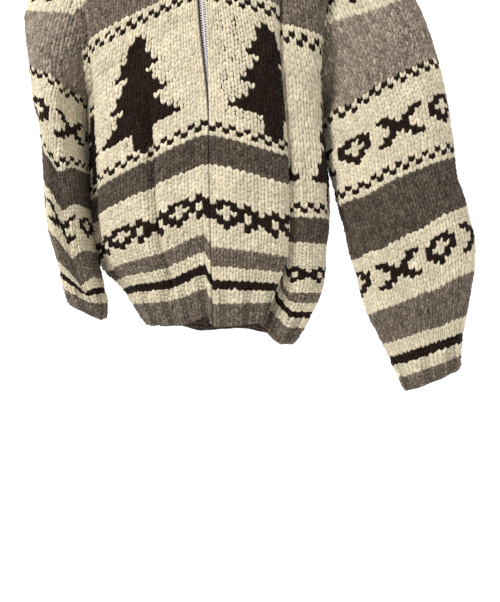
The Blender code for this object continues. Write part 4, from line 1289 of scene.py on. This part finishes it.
# %% Teeth
# Sizes in millimetres, across the zip from its middle and back from the cloth's surface. A tooth
# reaches TOOTH_PAST over the middle, a little more at its lower edge, and its tip is thinner.
CHAIN_HALF, CHAIN_THICK, ZIP_BACK = 4.5, 3.0, 3.4
CHAIN_FIRST_ROW, CHAIN_TOP_ROW = 0.5, 74.5
PITCH, TOOTH_PAST, TOOTH_SLOPE, TOOTH_HALF, TIP_HALF = 3.6, 0.9, 0.25, 1.0, 0.8
BOX = np.array([(x, y, z) for x in (0, 1) for y in (0, 1) for z in (0, 1)], float)
BOX_FACES = np.array([(0, 1, 3, 2), (4, 6, 7, 5), (0, 4, 5, 1), (2, 3, 7, 6), (0, 2, 6, 4),
                      (1, 5, 7, 3)])


def chain(name, side):
    """One side's teeth: boxes from the bead of the tape to just past the zip's middle."""
    inner = -TOOTH_PAST + TOOTH_SLOPE * (BOX[:, 2] - 0.5)
    shape = np.where(BOX[:, 0] > 0, CHAIN_HALF, inner)
    wide = np.where(BOX[:, 0] > 0, TOOTH_HALF, TIP_HALF)
    count = int((CHAIN_TOP_ROW - CHAIN_FIRST_ROW) * ROW_MM / PITCH)
    up = (np.arange(count)[:, None] + (0.5 if side > 0 else 0.0)) * PITCH
    up = up + (BOX[None, :, 2] - 0.5) * 2 * wide
    row = CHAIN_FIRST_ROW + up / ROW_MM
    stitch = side * np.broadcast_to(shape, row.shape) / STITCH_MM
    height = -(ZIP_BACK + CHAIN_THICK * BOX[:, 1])
    points = SURFACES["front"].at(stitch, row, np.broadcast_to(height, row.shape) * MM)
    faces = BOX_FACES[None] + (np.arange(count) * 8)[:, None, None]
    faces = faces[..., ::-1] if side > 0 else faces
    made = object_from(name, points.reshape(-1, 3), [faces.reshape(-1, 4)], METAL)
    made.data.shade_flat()
    return made


# %% The tape's edge
# A bead's corners, in millimetres across from the middle and back from the zip's front.
BEAD = np.array([(2.6, 0.35), (2.6, 2.65), (4.75, 2.65), (4.75, 0.35)])
BEAD_RINGS = 75


def bead(name, side):
    """The thick inner edge of the tape that the teeth are pressed on, as a square cord."""
    row = np.linspace(CHAIN_FIRST_ROW, CHAIN_TOP_ROW, BEAD_RINGS)[:, None]
    stitch = side * BEAD[None, :, 0] / STITCH_MM + 0 * row
    points = SURFACES["front"].at(stitch, row + 0 * stitch,
                                  -(ZIP_BACK + BEAD[None, :, 1] + 0 * row) * MM)
    at = (np.arange(BEAD_RINGS - 1) * 4)[:, None, None]
    k = np.arange(4)
    sides = np.stack([k, k + 4, (k + 1) % 4 + 4, (k + 1) % 4], axis=1)[None] + at
    last = 4 * BEAD_RINGS - 1
    ends = np.array([(0, 1, 2, 3), (last, last - 1, last - 2, last - 3)])
    faces = [sides.reshape(-1, 4), ends]
    if side > 0:
        faces = [f[:, ::-1] for f in faces]
    made = object_from(name, points.reshape(-1, 3), faces, TAPE)
    made.data.shade_flat()
    return made


# %% Zip
for name, side in (("left", 1), ("right", -1)):
    teeth, cord = chain("teeth_" + name, side), bead("bead_" + name, side)
    for piece, slot in ((teeth, "zip_metal"), (cord, "zip_tape")):
        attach(piece, "cardigan")
        total += sum(len(p.vertices) - 2 for p in piece.data.polygons)
    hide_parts("zip_teeth_" + name)
    bpy.data.objects["zip_tape_" + name].material_slots[0].material = TAPE
for name in ("zip_slider", "zip_pull"):
    bpy.data.objects[name].material_slots[0].material = METAL
print("in all", total, "triangles")

# %% [markdown]
# ## Floor and light
# A round paper sweep stands well away on all sides. It glows with painted light towards the
# cardigan's back, so that it stays white there, and hardly at its front. A flat floor would end
# in a grey line, and a bright room all round would take the shadows from between the stitches.
# Seen from the camera, a soft light comes from the upper left, with a weaker one from the right.


# %% Paper
def paper_material():
    """White paper with a painted glow, its emission, that rises with y from 1.3 m before the
    cardigan to the cardigan, so it throws little light on the front and leaves the folds their
    shadows."""
    made, shader = new_material("paper")
    place = add_node(made, "ShaderNodeTexCoord")
    parts = add_node(made, "ShaderNodeSeparateXYZ", Vector=place.outputs["Object"])
    glow = add_node(made, "ShaderNodeMapRange", {"interpolation_type": "SMOOTHSTEP"},
                    Value=parts.outputs[1], From_Min=-1.3, From_Max=0.0, To_Min=0.12, To_Max=0.72)
    made.node_tree.links.new(glow.outputs[0], shader.inputs["Emission Strength"])
    shader.inputs["Emission Color"].default_value = (*linear("FFFFFF"), 1)
    shader.inputs["Base Color"].default_value = (*linear("BCBCBC"), 1)
    shader.inputs["Roughness"].default_value = 0.9
    return made


# %% Sweep
# In metres: a disc in the middle, the floor out to FLOOR_R, and a bend of radius BEND_R up to the
# wall.
FLOOR_Z, FLOOR_DISC, FLOOR_R, BEND_R, WALL_TOP = -1.15, 0.4, 2.8, 0.9, 4.5
BEND_STEPS, WALL_SIDES = 13, 64


def sweep():
    """A round floor that curves up into a wall on all sides: its line, a quarter circle between
    two straight runs, turned about the vertical."""
    angle = np.linspace(0, math.pi / 2, BEND_STEPS)
    r = np.concatenate([[FLOOR_DISC], FLOOR_R + BEND_R * np.sin(angle), [FLOOR_R + BEND_R]])
    z = np.concatenate([[0.0], BEND_R * (1 - np.cos(angle)), [WALL_TOP]]) + FLOOR_Z
    turn = np.linspace(0, 2 * math.pi, WALL_SIDES, endpoint=False)[:, None]
    line = np.stack([r * np.cos(turn), r * np.sin(turn), z + 0 * turn], axis=-1)
    at = np.arange(line.shape[0] * line.shape[1]).reshape(line.shape[:2])
    following = np.roll(at, -1, axis=0)
    faces = np.stack([at[:, :-1], at[:, 1:], following[:, 1:], following[:, :-1]], axis=-1)
    object_from("sweep", line.reshape(-1, 3), [faces.reshape(-1, 4), at[None, :, 0]],
                         paper_material())


# %% Light
def lamp(name, place, aim, size, watts):
    """A square soft light at a place that faces a point."""
    light = bpy.data.lights.new(name, "AREA")
    light.energy, light.size = watts, size
    made = bpy.data.objects.new(name, light)
    direction = Vector(aim) - Vector(place)
    made.rotation_euler = direction.to_track_quat("-Z", "Y").to_euler()
    made.location = place
    bpy.context.scene.collection.objects.link(made)


sweep()
lamp("key", (-1.1, -1.6, 1.1), (0, 0, -0.45), 0.6, 50)
lamp("fill", (1.6, -1.3, 0.1), (0, 0, -0.4), 1.6, 6)
world = bpy.data.worlds.new("studio")
bpy.context.scene.world = world
world.use_nodes = True
world.node_tree.nodes["Background"].inputs[0].default_value = (1, 1, 1, 1)
world.node_tree.nodes["Background"].inputs[1].default_value = 0.3
bpy.context.scene.view_settings.view_transform = "Standard"
print("stage set")
